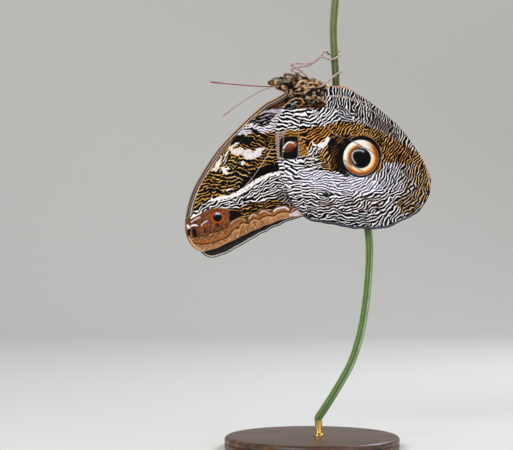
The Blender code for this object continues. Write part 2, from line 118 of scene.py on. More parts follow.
HIND_OUTLINE = (
    (-3.0, 5.0), (-1.8, 0.7), (-2.9, -1.0), (-3.1, -3.7), (-2.2, -7.1), (0.5, -11.0), (3.5, -14.4),
    (7.8, -17.4), (13.2, -20.0), (20.1, -22.6), (26.5, -23.9), (33.2, -24.5), (38.6, -23.2),
    (42.9, -19.7), (47.3, -14.8), (52.4, -9.6), (56.0, -4.4), (58.9, 0.0), (60.3, 4.6), (60.8, 9.0),
    (61.4, 13.1), (61.1, 17.3), (58.9, 22.1), (56.5, 25.3), (52.8, 27.2), (46.1, 28.5), (39.0, 28.5),
    (30.0, 27.8), (20.1, 25.1), (10.7, 21.7), (4.6, 18.5), (1.3, 14.4), (-0.2, 11.8), (-1.0, 8.8),
)
HIND_VEINS = {
    "subcosta": ((1.5, -3.6), (4.5, -9.2), (9.1, -14.7), (16.9, -19.3), (26.6, -22.2), (34.0, -22.9)),
    "radius": ((3.0, -2.0), (10.1, -7.9), (20.0, -14.7), (29.5, -19.0), (37.0, -21.4)),
    "media_1": ((10.1, -7.9), (15.5, -7.7), (22.5, -9.4), (32.2, -14.3), (41.0, -18.6)),
    "media_2": ((18.8, -4.1), (25.7, -3.8), (35.5, -7.8), (46.0, -12.2)),
    "media_3": ((18.0, 3.5), (29.6, 0.8), (41.4, -0.6), (54.8, -2.6)),
    "cell_end": ((16.5, -7.8), (18.8, -4.1), (18.0, 3.5), (18.6, 5.4)),
    "cubitus_1": ((18.6, 5.4), (29.5, 5.4), (40.7, 7.4), (50.4, 9.4), (59.2, 10.4)),
    "cubitus_2": ((3.5, 1.8), (13.3, 2.8), (18.6, 5.4), (22.3, 7.7), (35.7, 14.5), (47.5, 19.2),
                  (57.0, 21.4)),
    "anal_2": ((3.6, 5.4), (10.3, 9.8), (18.7, 15.3), (31.2, 22.4), (47.8, 25.6)),
    "anal_3": ((4.2, 10.6), (7.9, 15.2), (14.2, 20.3), (26.4, 24.8)),
}

# Slope of the coat's streaks, in degrees above the level.
COAT_SLANT = 32.0
# Height below which the coat is darker.
COAT_SHADE = 142.8

# Limbs and feelers: middle-line landmarks with a radius each, from the root to the tip. A feeler also has
# the colours of its joints and of the rings between them.
ANTENNAE = {
    # Near feeler: its pale pink-grey is painted light.
    "right": ((
        (-13.2, -0.7, 145.2, 0.27), (-15.4, -1.7, 144.4, 0.27), (-20.8, -4.4, 142.3, 0.25),
        (-29.0, -9.0, 137.0, 0.25), (-33.6, -11.6, 133.4, 0.30), (-35.8, -12.8, 131.8, 0.24),
    ), "#b58e89", "#6e4c4a"),
    # Far feeler: its deep red is the feeler's own red with painted shade on it.
    "left": ((
        (-13.2, 0.7, 145.2, 0.27), (-16.4, 1.8, 144.8, 0.27), (-20.2, 3.8, 144.9, 0.25),
        (-31.4, 9.4, 146.2, 0.25), (-38.2, 12.2, 147.1, 0.30), (-41.5, 13.4, 147.6, 0.24),
    ), "#8c2a26", "#4a1414"),
}
FEELER_JOINT = 0.55
PALP = (
    (-12.4, 0.70, 146.6, 1.75), (-14.2, 0.85, 146.4, 1.62), (-15.2, 0.80, 146.3, 1.15),
    (-16.1, 0.68, 146.2, 0.66), (-17.0, 0.55, 146.1, 0.18),
)
FORE_LEG = (
    (-9.0, 1.0, 146.6, 0.4), (-10.9, 1.7, 148.9, 0.4), (-10.5, 2.1, 149.5, 0.38), (-8.6, 2.5, 149.4, 0.38),
    (-7.2, 2.8, 149.0, 0.26),
)
LEGS = {
    "leg_mid_right": (
        (-0.4, -1.5, 147.0, 0.42), (-4.4, -2.8, 150.5, 0.4), (-8.1, -4.0, 152.6, 0.36),
        (-8.4, -3.9, 153.1, 0.36), (-6.2, -3.2, 153.6, 0.34), (-0.9, -1.1, 153.8, 0.32),
        (2.4, 0.5, 156.0, 0.28), (4.6, 1.6, 156.6, 0.27), (6.6, 2.0, 155.8, 0.27), (8.8, 2.2, 155.8, 0.27),
        (10.7, 2.9, 157.0, 0.27), (11.9, 4.3, 158.6, 0.26), (11.2, 6.0, 159.2, 0.24),
    ),
    "leg_mid_left": (
        (-1.9, 1.6, 147.0, 0.42), (-5.2, 2.9, 150.0, 0.4), (-7.6, 4.0, 151.3, 0.36),
        (-7.9, 4.0, 151.9, 0.36), (-6.0, 4.0, 152.6, 0.34), (-1.0, 3.8, 153.5, 0.32),
        (2.2, 3.9, 155.6, 0.28), (3.9, 4.2, 157.6, 0.27), (4.8, 4.6, 158.9, 0.27), (6.0, 5.6, 159.1, 0.27),
        (6.8, 6.9, 158.4, 0.26), (8.2, 7.4, 157.9, 0.24),
    ),
    "leg_hind_right": (
        (0.8, -1.6, 142.4, 0.4), (3.5, -3.2, 144.3, 0.38), (6.6, -1.2, 146.9, 0.34), (9.4, 1.6, 149.3, 0.3),
        (11.2, 3.1, 150.7, 0.28), (12.0, 4.6, 151.1, 0.27), (11.6, 6.4, 151.0, 0.25),
        (10.4, 7.5, 150.8, 0.24),
    ),
    "leg_hind_left": (
        (0.8, 1.6, 142.6, 0.4), (3.4, 3.4, 144.4, 0.38), (5.4, 5.4, 146.2, 0.34), (6.9, 7.4, 147.7, 0.3),
        (8.4, 8.1, 149.0, 0.28), (10.0, 8.0, 149.9, 0.27), (11.4, 7.4, 150.0, 0.24),
    ),
}

# Stem: its middle line from the cut lower end to the top.
STEM_LINE = (
    (2.6, 0.0, 11.2), (2.7, 0.0, 12.4), (5.6, 0.9, 16.6), (11.4, 3.0, 25.6), (16.6, 4.8, 35.4),
    (20.6, 6.2, 49.4),
    (23.0, 6.8, 68.6), (23.1, 7.0, 85.0), (19.4, 7.0, 105.0), (14.2, 7.0, 125.0), (10.5, 6.8, 140.0),
    (9.6, 5.0, 150.5), (9.0, 4.6, 160.0), (8.7, 4.4, 169.0), (9.6, 4.2, 181.4),
)

# Stand, turned on a lathe: height and radius from below.
BASE_PROFILE = (
    (0.0, 34.3), (0.1, 34.7), (0.4, 35.0), (1.9, 35.0), (2.05, 34.85), (2.15, 34.6), (2.3, 34.5),
    (2.45, 34.6),
    (2.55, 34.85), (2.7, 35.0), (3.7, 35.0), (4.1, 34.9), (4.5, 34.6), (4.8, 34.2), (4.95, 33.8), (5.0, 33.3),
)
ROD_PROFILE = (
    (4.9, 2.3), (5.3, 2.3), (5.6, 2.2), (5.8, 1.95), (5.9, 1.6), (6.1, 1.5), (10.9, 1.5), (11.1, 1.5),
    (11.2, 1.42),
)
STEM_SIDES = 48
LIMB_SIDES = 12

# Claw of a leg: reach past its end, spread and drop of four points.
CLAW = ((-0.15, 0.05, 0.0), (0.12, 0.14, 0.0), (0.34, 0.24, 0.08), (0.44, 0.28, 0.26))
# Tones of a leg's underside and upper side, for the other legs and then the fore legs: the darker underside is
# painted shade and the paler upper side is painted light.
LEG_SHADED_AND_LIT_TONES = ("#8f6153", "#d6c3c0")
FORE_LEG_SHADED_AND_LIT_TONES = ("#3e2616", "#a8835f")
PALP_FLATNESS = 0.65

# Colours of the coat and of three bands of a palp from below, each on a scale of ranks.
COAT_TONES = ((0.0, 0.52, 0.54, 0.56, 0.59, 0.64, 1.0),
              ("#04060c", "#0a0e18", "#52280e", "#c27220", "#f2aa54", "#ffe4c0", "#f8e4d2"))
PALP_RANKS = (0.0, 0.40, 0.50, 0.60, 1.0)
PALP_TONES = (
    ("#050609", "#0c0b0c", "#2e2014", "#d9a862", "#f0dcc0"), ("#0b0a0b", "#4a2a18", "#a2602e", "#c98c58",
                                                              "#e8c8a4"),
    ("#101014", "#46403c", "#746c66", "#a29b95", "#cbc6c1"),
)
# Places of a tuft's rings, as shares of its length.
TUFT_STATIONS = (0.0, 0.4, 0.75)

# Camera and the point that the lights face, in metres.
CAMERA_PLACE = (-0.0222, -0.7, 0.0892)
LIGHT_AIM = (-0.004, 0.0, 0.12)

# Markings, drawn in the plane of the right wings as pixels of the drawing: x to the rear, y down.
PIXEL = 0.4
STRIPE_SCALE = 0.82
PIXEL_ORIGIN = (312.0, 448.0)

# The stripes' filters: steps of direction in degrees, steps of spacing in millimetres and their ratio,
# and how quickly long and short stripes end.
LAY_STEP = 12
GAP_STEPS = (0.72, 0.86, 1.02, 1.21, 1.44, 1.71)
GAP_RATIO = 1.19
STRIPE_LENGTHS = (0.10, 0.42)
# Width of a stroke's soft edge, and how much more the mottling darkens green and blue than red.
STROKE_EDGE = 0.22
MOTTLE_POWERS = (1.0, 1.15, 1.6)

# Lay of the fine stripes: place, direction in degrees from level, and spacing in pixels.
HIND_LAY = (
    (287, 113, 0, 4.2), (285, 122, 0, 4.2), (295, 116, -10, 4), (305, 114, -4, 4.3), (311, 114, 25, 4.2),
    (304, 121, -3, 4.6), (313, 121, 25, 4.4), (319, 116, 48, 3.8), (326, 114, 45, 3.6), (333, 117, 28, 2.9),
    (345, 113, -32, 2.5), (348, 119, -12, 2.5), (322, 122, 25, 3.6), (330, 123, 45, 2.9),
    (330, 92, 84, 2.9), (336, 103, 86, 2.9), (326, 104, 80, 3), (350, 95, 82, 2.9), (352, 108, 86, 3.1),
    (365, 104, 84, 2.9), (365, 115, 86, 3.1), (378, 113, 86, 2.9), (386, 120, 84, 2.9), (396, 126, 84, 3.2),
    (398, 136, 78, 3.2), (406, 139, 74, 3.4), (412, 146, 70, 3), (375, 124, 80, 2.7), (292, 131, 10, 3.4),
    (306, 131, 12, 3.6), (318, 130, 32, 3.6), (325, 128, 45, 3.4), (304, 139, 2, 3.6), (312, 138, 22, 3.5),
    (320, 137, 30, 3.5), (308, 146, 50, 3.5), (332, 128, 60, 3.4), (340, 128, 66, 3.4), (347, 128, 62, 3.4),
    (354, 127, 50, 3), (365, 128, 36, 2.8), (375, 135, 46, 2.8), (385, 143, 50, 2.8), (395, 152, 40, 3),
    (404, 154, 60, 3.2), (412, 156, 55, 3), (420, 160, 66, 3), (392, 162, 62, 3), (285, 165, -6, 4.6),
    (292, 164, -20, 4.4), (292, 172, -34, 4.6), (302, 161, 8, 4.2), (306, 163, -18, 4), (314, 153, 58, 3.4),
    (317, 158, 8, 3.2), (322, 164, 8, 3), (327, 158, 45, 3.2), (330, 165, 45, 3.2), (303, 172, 6, 3.2),
    (315, 174, 16, 3.2), (325, 176, 4, 3.2), (340, 178, 0, 3.2), (350, 184, 14, 3.2), (360, 187, 28, 3.2),
    (368, 182, 40, 3.2), (376, 179, 52, 3.4), (383, 173, 78, 3.4), (391, 178, 80, 3.4), (396, 186, 60, 3.4),
    (386, 191, 42, 3.6), (396, 195, 22, 3.5), (406, 184, 48, 3.4), (414, 178, 70, 3), (422, 184, 78, 2.8),
    (400, 170, 74, 3.2), (410, 168, 66, 3), (286, 184, -12, 3.9), (295, 186, 0, 3.9), (304, 187, -4, 3.7),
    (318, 188, -14, 3.4), (332, 191, -24, 3.6), (345, 192, 0, 3.4), (358, 196, 30, 3.5),
    (368, 196, 18, 3.5), (378, 198, 8, 3.5), (295, 196, 0, 3.3), (304, 198, 6, 3.3), (314, 201, -24, 3.3),
    (326, 203, 22, 3.5), (346, 203, 4, 3.5), (362, 204, 42, 3.7), (376, 203, 8, 3.5), (388, 204, 40, 3.5),
    (306, 210, -10, 3.2), (330, 211, 8, 3.2), (352, 212, 0, 3.4), (372, 214, 32, 3.6), (386, 212, 48, 3.6),
    (400, 211, 46, 3.6), (412, 208, 40, 3.4), (424, 196, 62, 3.2), (335, 220, -6, 3), (360, 219, 4, 3.2),
    (384, 222, 60, 3.4),
)
FORE_LAY = (
    (262, 118, 24, 3), (252, 122, 30, 3), (250, 129, 6, 3.4), (270, 127, 0, 3), (250, 134, -6, 3.6),
    (265, 135, -24, 3.4), (270, 140, -14, 3.4), (260, 143, -38, 3.4), (248, 145, -34, 3.6),
    (238, 145, -6, 3.4), (230, 148, 48, 3.2), (226, 154, 66, 3.2), (236, 157, -14, 3.8), (232, 163, -26, 4),
    (245, 165, -18, 4.2), (255, 163, -14, 3.6), (266, 158, -6, 3.8), (272, 152, 6, 3.6),
    (263, 166, 20, 3.6), (222, 164, 72, 3.2), (217, 168, 60, 3.6), (214, 174, -30, 4), (217, 181, -10, 4.2),
    (222, 182, -6, 4.4), (210, 188, 18, 4), (204, 197, 26, 4), (214, 186, -6, 4.2), (231, 176, -4, 5.2),
    (240, 176, -30, 5.2), (236, 183, 14, 5), (220, 191, 0, 4.2), (196, 213, 40, 3.4), (205, 206, 35, 3.4),
    (216, 202, 22, 3.4), (226, 203, 16, 3.4), (236, 200, 32, 3.4), (246, 193, 38, 3.4), (256, 187, 30, 3.4),
    (265, 181, 34, 3.4), (275, 176, 24, 3.4), (285, 175, 8, 3.4), (270, 190, 15, 3.2), (280, 185, 8, 3.4),
    (256, 199, 14, 3.2), (268, 196, 16, 3.2), (246, 205, 16, 3.4), (230, 208, 20, 3.4), (286, 193, 18, 3.2),
    (272, 203, 15, 3.4), (256, 208, 14, 3.4), (240, 212, 8, 3.4), (196, 244, 84, 3.2), (206, 247, 96, 3.2),
    (220, 241, 106, 3.2), (236, 234, 112, 3.2), (252, 226, 112, 3.2), (270, 220, 110, 3.2),
    (288, 215, 108, 3.2), (210, 238, 100, 3.2), (226, 232, 110, 3.2),
)

# Zones, painted in this order. Each row: edge, softness in pixels, ground colour, stripe colour, share of
# the ground that stripes cover, how short and mottled they are, and the veins' colour. A row of four
# holds flecks in the ground instead: edge, colour, size in millimetres, and share. Points of an edge or a
# line follow each other as x, y, x, y.
HIND_ZONES = (
    # Pale middle and lower part.
    ((276, 156, 300, 156, 345, 172, 384, 160, 420, 182, 432, 200, 400, 226, 340, 230,
     290, 214, 274, 190), 2, "#f6f2fa", "#141217", 0.5, 0.45, "#d3c3bb"),
    # Softer stripes under the large eye spot.
    ((300, 168, 328, 172, 350, 176, 372, 176, 378, 186, 366, 194, 340, 192, 300, 184),
     3, "#f2eefa", "#474452", 0.46, 0.3, "#d3c3bb"),
    ((379, 172, 384, 163, 396, 163, 402, 172, 398, 190, 382, 190),
     2.5, "#ebe7f4", "#252228", 0.53, 0.3, "#b9a9a2"),
    # Bold stripes of the front cell.
    ((280, 158, 299, 158, 300, 176, 300, 190, 288, 190, 283, 176),
     1, "#f4f0f6", "#0a0909", 0.49, 0, "#d0b5a6"),
    # Broken dark ripples above the margin, with ochre in them.
    ((290, 195, 316, 197, 340, 199, 368, 196, 392, 190, 402, 188, 404, 200, 392, 213,
     366, 212, 330, 207, 296, 205), 2, "#f2ecf0", "#0b0908", 0.54, 0.6, "#b9a090"),
    ((292, 207, 340, 209, 372, 214, 402, 208, 424, 204, 404, 222, 386, 230, 340, 228,
     296, 216), 2, "#e6e2e6", "#0e0c0b", 0.55, 0.7, "#a89a90"),
    ((296, 197, 340, 200, 392, 190, 408, 200, 384, 216, 340, 214, 298, 208),
     "#8a5a2a", 1, 0.2),
    # Brown and grey mottling at the outer margin.
    ((398, 162, 410, 152, 424, 158, 434, 196, 424, 202, 408, 204, 396, 204, 404, 190,
     402, 172), 2.5, "#dcc0a2", "#120c08", 0.565, 0.7, "#a0928a"),
    ((414, 160, 426, 166, 434, 196, 426, 204, 416, 200, 414, 184),
     2.5, "#d2a668", "#150d07", 0.565, 0.7, "#988474"),
    ((399, 199, 410, 196, 422, 202, 420, 214, 404, 213, 398, 206),
     4, "#c08e46", "#0f0905", 0.57, 0.5, "#988474"),
    ((384, 166, 412, 152, 430, 190, 406, 206, 396, 190), "#d2cdd2", 0.7, 0.46),
    ((392, 198, 404, 188, 426, 196, 422, 214, 400, 218), "#c9c4c8", 0.8, 0.34),
    # Ochre fields.
    ((299, 129, 313, 126, 326, 126, 345, 120, 356, 124, 352, 138, 334, 140, 330, 150,
     328, 172, 322, 162, 324, 148, 312, 150, 306, 148, 299, 140),
     1.2, "#eaa646", "#070504", 0.565, 0.2, "#9c9498"),
    ((344, 121, 356, 124, 366, 125, 376, 129, 386, 133, 394, 138, 404, 143, 416, 155,
     412, 164, 396, 163, 384, 164, 378, 174, 374, 170, 380, 158, 372, 146, 361, 139,
     350, 138, 346, 130), 1.5, "#e4ae62", "#080604", 0.565, 0.55, "#9c9498"),
    ((392, 140, 402, 143, 412, 151, 410, 162, 396, 161, 388, 150),
     3, "#c08c46", "#0c0805", 0.58, 0.4, "#9c9498"),
    ((376, 130, 418, 155, 402, 166, 382, 158), "#8f5c26", 0.8, 0.4),
    ((299, 128, 326, 126, 350, 122, 346, 136, 328, 148, 302, 142), "#8a5416", 0.7, 0.35),
    ((284, 131, 289, 128, 293, 126, 298, 127, 299, 137, 284, 138),
     1.5, "#a8782c", "#3a220d", 0.42, 0.8, "#b08a60"),
    # Grey, brown and lilac strip before the small eye spot.
    ((275, 131, 284, 131, 283, 140, 281, 158, 276, 158), 1.5, "#a08a80", "#2a211c", 0.36, 0.7,
     "#b9a79c"),
    # Bold black and white stripes of the base.
    ((276, 118, 279, 110, 300, 109, 312, 109, 325, 108, 340, 111, 354, 119, 352, 122,
     340, 121, 333, 122, 325, 126, 313, 126.5, 300, 130, 284, 131, 276, 131.5),
     1.2, "#f6f3f5", "#060506", 0.515, 0, "#ceb0a6"),
    ((333, 117, 340, 111, 352, 118, 353, 122, 342, 121), 2.5, "#c8c7d0", "#1b1a1f", 0.5, 0.3,
     "#c0b4b4"),
    # Fold along the inner edge: narrow upright stripes.
    ((321, 84, 345, 84, 402, 122, 418, 150, 404, 143, 394, 138, 386, 133, 376, 128,
     366, 124, 356, 123, 350, 115, 338, 110, 324, 108, 318, 102),
     1.2, "#f2eeec", "#070606", 0.555, 0.05, "#c99a78"),
    ((392, 118, 402, 124, 416, 148, 406, 144, 398, 136), 2, "#f2eadd", "#080706", 0.54, 0.05,
     "#c99a78"),
    ((370, 119, 390, 122, 396, 131, 400, 140, 392, 137, 380, 130, 368, 125),
     4.5, "#8a7779", "#1c1617", 0.5, 0.6, "#8a7a7c"),
    ((330, 86, 380, 108, 416, 148, 392, 136, 352, 122, 326, 106), "#8f8a8c", 0.8, 0.3),
    # Dark base of the wing.
    ((284, 109, 285, 103, 290, 99, 300, 99, 304, 103, 312, 104, 312, 108.5, 300, 109),
     1, "#8a8580", "#080708", 0.6, 0.2, "#7a4a24"),
    ((300, 98, 318, 99, 324, 104, 322, 108.5, 300, 108.5),
     1.2, "#74481f", "#080605", 0.6, 0.4, "#8a5a30"),
    # Brown wedge and dark field between the eye spots.
    ((299, 139, 303, 144, 308, 149, 306, 153, 309, 156, 303, 157.5, 299, 157),
     1, "#a8742c", "#4e2c10", 0.36, 0.9, "#8a6c4c"),
    ((308, 150, 313, 146, 320, 149, 324, 150, 322, 157, 312, 158, 308, 155),
     1.5, "#e0dad8", "#0d0b0a", 0.49, 0.05, "#d0b5a6"),
    ((300, 158, 311, 156, 324, 158, 328, 170, 312, 169, 300, 164),
     1.5, "#e4ddda", "#0d0b0b", 0.5, 0.1, "#d0b5a6"),
    ((316, 156, 326, 150, 334, 160, 334, 172, 326, 170), 2, "#dca658", "#0a0705", 0.55, 0.2,
     "#9c9498"),
    ((327, 144, 333, 138, 342, 136.5, 350, 138, 348, 146, 343, 158, 344, 170, 349, 176,
     342, 173, 334, 171, 331, 160), 3, "#5a3417", "#0e0b0a", 0.8, 0.9, "#4a423e"),
    ((330, 148, 336, 146, 338, 158, 337.5, 167, 333, 169),
     2.5, "#6e421f", "#120d0a", 0.55, 0.9, "#4a423e"),
    ((335, 139, 341, 138, 343, 142, 338, 144.5), 1.6, "#7a4c22", "#120d0a", 0.45, 0.9, "#4a423e"),
)
# The two dark wavy lines of the fore wing's border.
BORDER_INNER = (
    (190, 237), (194.5, 237), (199.5, 235.8), (206, 235.8), (210.2, 232.9), (213.5, 232.1), (217.6, 231.3),
    (220, 230), (226.6, 227.6), (227.9, 225.5), (229.1, 223), (231.6, 220.6), (234, 219.3), (239.8, 216.9),
    (243.9, 217.7), (246.4, 221.4), (248, 217.7), (250.5, 214), (253.8, 212.8), (257.1, 214.4),
    (259.5, 210.7), (262, 209.5), (265.3, 209.9), (270.2, 212.3), (272.7, 210.7), (275.2, 207.8),
    (280.1, 206.2), (285.1, 205.8), (289.2, 207.8), (290, 210.7), (292.5, 208.2), (295.8, 207.4),
    (298.2, 209.1),
)
BORDER_MIDDLE = (
    (193.7, 242.4), (197, 243.6), (203.6, 244), (210.2, 243.2), (215.9, 241.6), (221.7, 239.5),
    (227.4, 237), (229.9, 234.2), (232.4, 230.9), (236.5, 228), (237.7, 228.8), (239, 226.3),
    (240.6, 223.5), (243.9, 222.6), (248, 223.5), (251.3, 219.8), (254.6, 218.5), (257.9, 219.3),
    (260.8, 218.5), (263.7, 216.5), (268.6, 215.6), (273.5, 216), (277.7, 213.2), (281.8, 211.9),
    (287.5, 211.9), (291.6, 212.3), (295.8, 209.9), (298.2, 209.1),
)
FORE_ZONES = (
    # Ochre field with black ripples, over most of the wing.
    ((276, 90, 310, 130, 300, 215, 190, 215, 190, 175, 230, 130),
     1, "#eab252", "#050403", 0.59, 0.15, "#5d5048"),
    ((243, 134, 254, 131, 268, 131, 277, 131, 277, 150, 262, 150, 250, 147, 241, 141),
     1, "#dca550", "#050403", 0.6, 0.1, "#5d5048"),
    ((240, 132, 276, 130, 276, 166, 250, 170, 226, 170, 228, 150), "#8a541c", 0.7, 0.35),
    ((196, 210, 214, 172, 236, 176, 232, 196), "#8a6428", 0.7, 0.35),
    ((226, 160, 242, 160, 244, 168, 240, 182, 228, 186, 226, 170),
     2, "#dcb868", "#050403", 0.6, 0.5, "#5d5048"),
    # Base: brown patch, lilac band, black patch with grey flecks, pale band.
    ((270, 98, 292, 92, 296, 112, 262, 112), 1, "#1b1512", "#0e0c0b", 0.6, 0.9, "#b89a86"),
    ((271, 108, 276, 104.5, 284, 102, 286, 106, 280, 108.5),
     1.2, "#5a341f", "#2a1810", 0.3, 0.9, "#b89a86"),
    ((259, 116, 263, 112.5, 268, 110.2, 281, 109.5, 280, 114, 274, 113.5, 268, 112.8,
     263, 115.5), 0.8, "#a9a2b2", "#6f6a78", 0.15, 0.9, "#c0a89a"),
    ((247, 124, 256, 117.5, 263, 113.8, 270, 113, 276, 114.2, 279, 113, 272, 121, 264, 127,
     258, 125.5, 252, 124), 0.8, "#b5b2bc", "#070607", 0.6, 0.9, "#6e6468"),
    ((272, 121, 277, 114, 284, 108, 284, 131, 276, 131, 262, 133.5, 256, 130.5, 250, 134,
     236, 138, 242, 129, 250, 123.5, 258, 126, 264, 127),
     0.9, "#dedae4", "#131214", 0.36, 0.6, "#c2b0aa"),
    ((242, 129.5, 248, 128, 254, 128.6, 257.5, 131, 257.5, 135, 255, 133, 252, 130.4,
     247, 129.8), 0.5, "#17151a", "#0d0c0d", 1, 0.5, "#5d5048"),
    ((231, 141, 237, 136, 245, 136.5, 251, 139, 250, 143, 240, 143.5, 233, 146),
     1.2, "#3a2a26", "#0e0c0c", 0.93, 0.9, "#5d5048"),
    # Pale patches.
    ((225, 156, 226, 151, 229, 147.5, 233, 145, 238, 142.5, 241, 143, 236, 145.5,
     231, 148.5, 228.5, 152, 227.5, 157), 0.9, "#e4dad4", "#191512", 0.24, 0.2, "#cdbab0"),
    ((230, 150, 234, 148.6, 240, 147.5, 243, 149, 242.5, 152, 239, 155, 235, 154,
     231, 152.6), 1.3, "#ddd5d2", "#6a625f", 0.1, 0.5, "#cdbab0"),
    ((242, 154, 244, 151, 247, 149.8, 250.5, 149.8, 251.5, 152, 254, 152, 256, 149.5,
     262, 147.8, 265, 148, 262, 152, 260.5, 156, 256, 158, 251, 159.6, 246.5, 159,
     244, 156.6), 1.3, "#d9d3d9", "#6a656b", 0.1, 0.5, "#cdbab0"),
    ((241, 162.5, 243, 161, 244.5, 162, 243.5, 165, 241.5, 165),
     0.6, "#d9dbe8", "#a9a4ab", 0, 0.5, "#cdbab0"),
    ((212, 171, 214.5, 166.5, 217.5, 161.5, 220.5, 157.5, 223.5, 154.5, 226, 153.5, 224, 158,
     220.5, 162, 219, 167.5, 216.5, 171), 1.1, "#e8dcd8", "#17120f", 0.24, 0.3, "#cdbab0"),
    ((220.5, 168, 223, 165.5, 225, 168, 228.5, 167, 229, 171, 228, 175.5, 225, 175,
     222, 171.5), 1.2, "#ece6e6", "#17120f", 0.2, 0.3, "#cdbab0"),
    ((222, 158.5, 226, 156.5, 226, 165, 222.5, 164.5), 0.8, "#c9c2c0", "#14110f", 0.52, 0.4,
     "#cdbab0"),
    ((225, 190.6, 229, 189.2, 235, 189.8, 233, 191.6, 228, 192.2),
     0.5, "#ece8ee", "#2a2321", 0, 0.3, "#cdbab0"),
    # Black fields before the pale band.
    ((229, 170, 238, 168.5, 250, 169.5, 254, 172, 250, 179, 243, 185, 238, 189, 232, 187,
     228, 180), 3, "#e2b676", "#060504", 0.62, 0.6, "#5d5048"),
    ((276.5, 163.5, 290, 163, 290, 170, 278, 170.6, 268, 173.5, 258, 177.5, 250, 182,
     242, 188, 236, 191.5, 226, 193, 229, 190.5, 238, 188, 246, 179, 252, 172, 258, 169.5,
     266, 165.5), 0.8, "#3a3234", "#060505", 0.97, 0.9, "#5d5048"),
    # Broad pale band with thin black lines, and its plain upper edge.
    ((300, 168, 281, 170.8, 270, 173.2, 260, 177.4, 250, 182.6, 242, 188.6, 234, 193,
     222, 196, 211, 199, 204, 203, 197, 209, 190, 216, 191, 220, 200, 214.5, 210, 209,
     222, 208.5, 231, 209.5, 242, 207, 250, 204, 258, 202.5, 268, 200.5, 280, 197,
     300, 196), 0.8, "#f6f0f2", "#060505", 0.535, 0, "#cdb2a6"),
    ((300, 169, 281, 171.2, 270, 173.8, 260, 178, 250, 183.2, 242, 189, 234, 193.4,
     222, 196.4, 211, 199.4, 211, 201.5, 222, 199.6, 236, 196, 244, 192, 252, 186.2,
     262, 180.5, 271, 176.2, 281, 173.4, 300, 171.4), 0.8, "#ebe6e6", "#8a8282", 0.03, 0,
     "#d6b8ac"),
    # Dark brown and ochre lines under the band.
    ((230, 210, 242, 207, 250, 204, 258, 202.5, 268, 200.5, 282, 197, 302, 197, 302, 211,
     280, 208, 268, 210, 256, 212, 246, 214, 236, 218, 229, 222, 227, 214),
     0.8, "#c48a44", "#050403", 0.6, 0.15, "#8a7a70"),
    ((276, 192, 300, 190, 300, 208, 290, 207, 280, 202), 2, "#a8a39c", "#0a0908", 0.56, 0.5,
     "#8a7a70"),
    ((227, 215, 232, 212.5, 240, 213, 240, 216, 235, 219.5, 229, 221.5),
     1, "#2a1a10", "#0f0c0b", 0.97, 0.9, "#6a4a30"),
    # Rust tip, and the tan border with its two wavy lines.
    ((186, 220, 191, 219, 200, 213.5, 210, 208.5, 224, 208, 230, 211, 228.5, 222, 227, 228,
     240, 224, 300, 204, 320, 214, 250, 262, 180, 250), 0.7, "#7c4e2c", "#40240f", 0.24, 0.9,
     "#6d4a2e"),
    ((186, 222, 192, 219, 200, 213.5, 210, 209.5, 224, 209, 229, 213, 228, 222, 226, 227,
     214, 232.5, 206, 235, 197, 236, 188, 235), 0.8, "#74442a", "#36190c", 0.24, 0.9, "#59402f"),
    ((188, 219, 224, 208, 230, 214, 226, 228, 206, 236, 188, 236), "#472817", 0.6, 0.36),
    ((196, 219, 224, 209, 229, 222, 206, 230), "#9a5730", 0.5, 0.24),
    ((*BORDER_INNER, *BORDER_MIDDLE[::-1]), 0.4, "#835231", "#402413", 0.24, 0.9, "#6c4a32"),
    ((*BORDER_MIDDLE, (306, 208), (310, 216), (250, 258), (180, 252), (188, 238)),
     0.4, "#a2744c", "#6a452a", 0.24, 0.9, "#7a583c"),
    ((192, 238, 300, 206, 304, 214, 252, 244, 210, 254, 192, 246), "#7a4d2c", 0.4, 0.34),
    ((192, 238, 300, 206, 304, 214, 252, 244, 210, 254, 192, 246), "#c39468", 0.4, 0.16),
    ((290, 216, 291, 212, 297, 209.5, 301, 210, 300, 215.5),
     0.8, "#cdbcc0", "#a78f88", 0.1, 0.9, "#8a6040"),
)

# Strokes over the zones. Each row: middle line, width in pixels, colour.
HIND_STROKES = (
    ((319, 94, 323, 89.6, 328, 86.4, 334, 85.6, 340, 86.4, 346, 87.4, 352, 90, 360, 94.2,
     370, 100, 380, 106.3, 392, 115.2, 402, 126, 411, 140, 418, 150, 424.5, 161),
     2.4, "#b26c36"),
    ((326, 97, 333, 96.4, 340, 96.6, 350, 98.4, 360, 101.4, 368, 104), 0.7, "#a97c62"),
    ((303.5, 104, 302.5, 101, 300, 99, 297, 98.3, 292, 100, 288, 102.6, 284.5, 106,
     282, 109.5, 280, 114), 1.3, "#b98a56"),
    ((308, 101.5, 312, 100.3, 317, 100.2, 322, 101.6, 327, 104.6), 1.1, "#a8652c"),
    ((297, 108, 300, 105.6, 303.5, 103.4), 1.2, "#8a5424"),
    ((300, 109.3, 305, 108.6, 310, 108.6), 1, "#8a5c3c"),
    ((291.5, 105.6, 293.5, 104, 296, 102.8), 1.2, "#a5a19c"),
    ((347.5, 138, 351, 136, 355, 134.8, 362, 133.6, 367, 134.8, 371, 137.6), 1.1, "#8a4520"),
    ((277.8, 134, 277.6, 146, 278.4, 158), 1.4, "#9a857a"),
    ((308.5, 103.5, 311, 108.5, 316, 114.5, 322, 121.5, 327, 127, 331, 132.5, 336, 135.5,
     345, 138.5), 0.9, "#5b4d44"),
    ((424.5, 161, 428, 176, 430, 189, 429, 196), 1, "#a89684"),
)
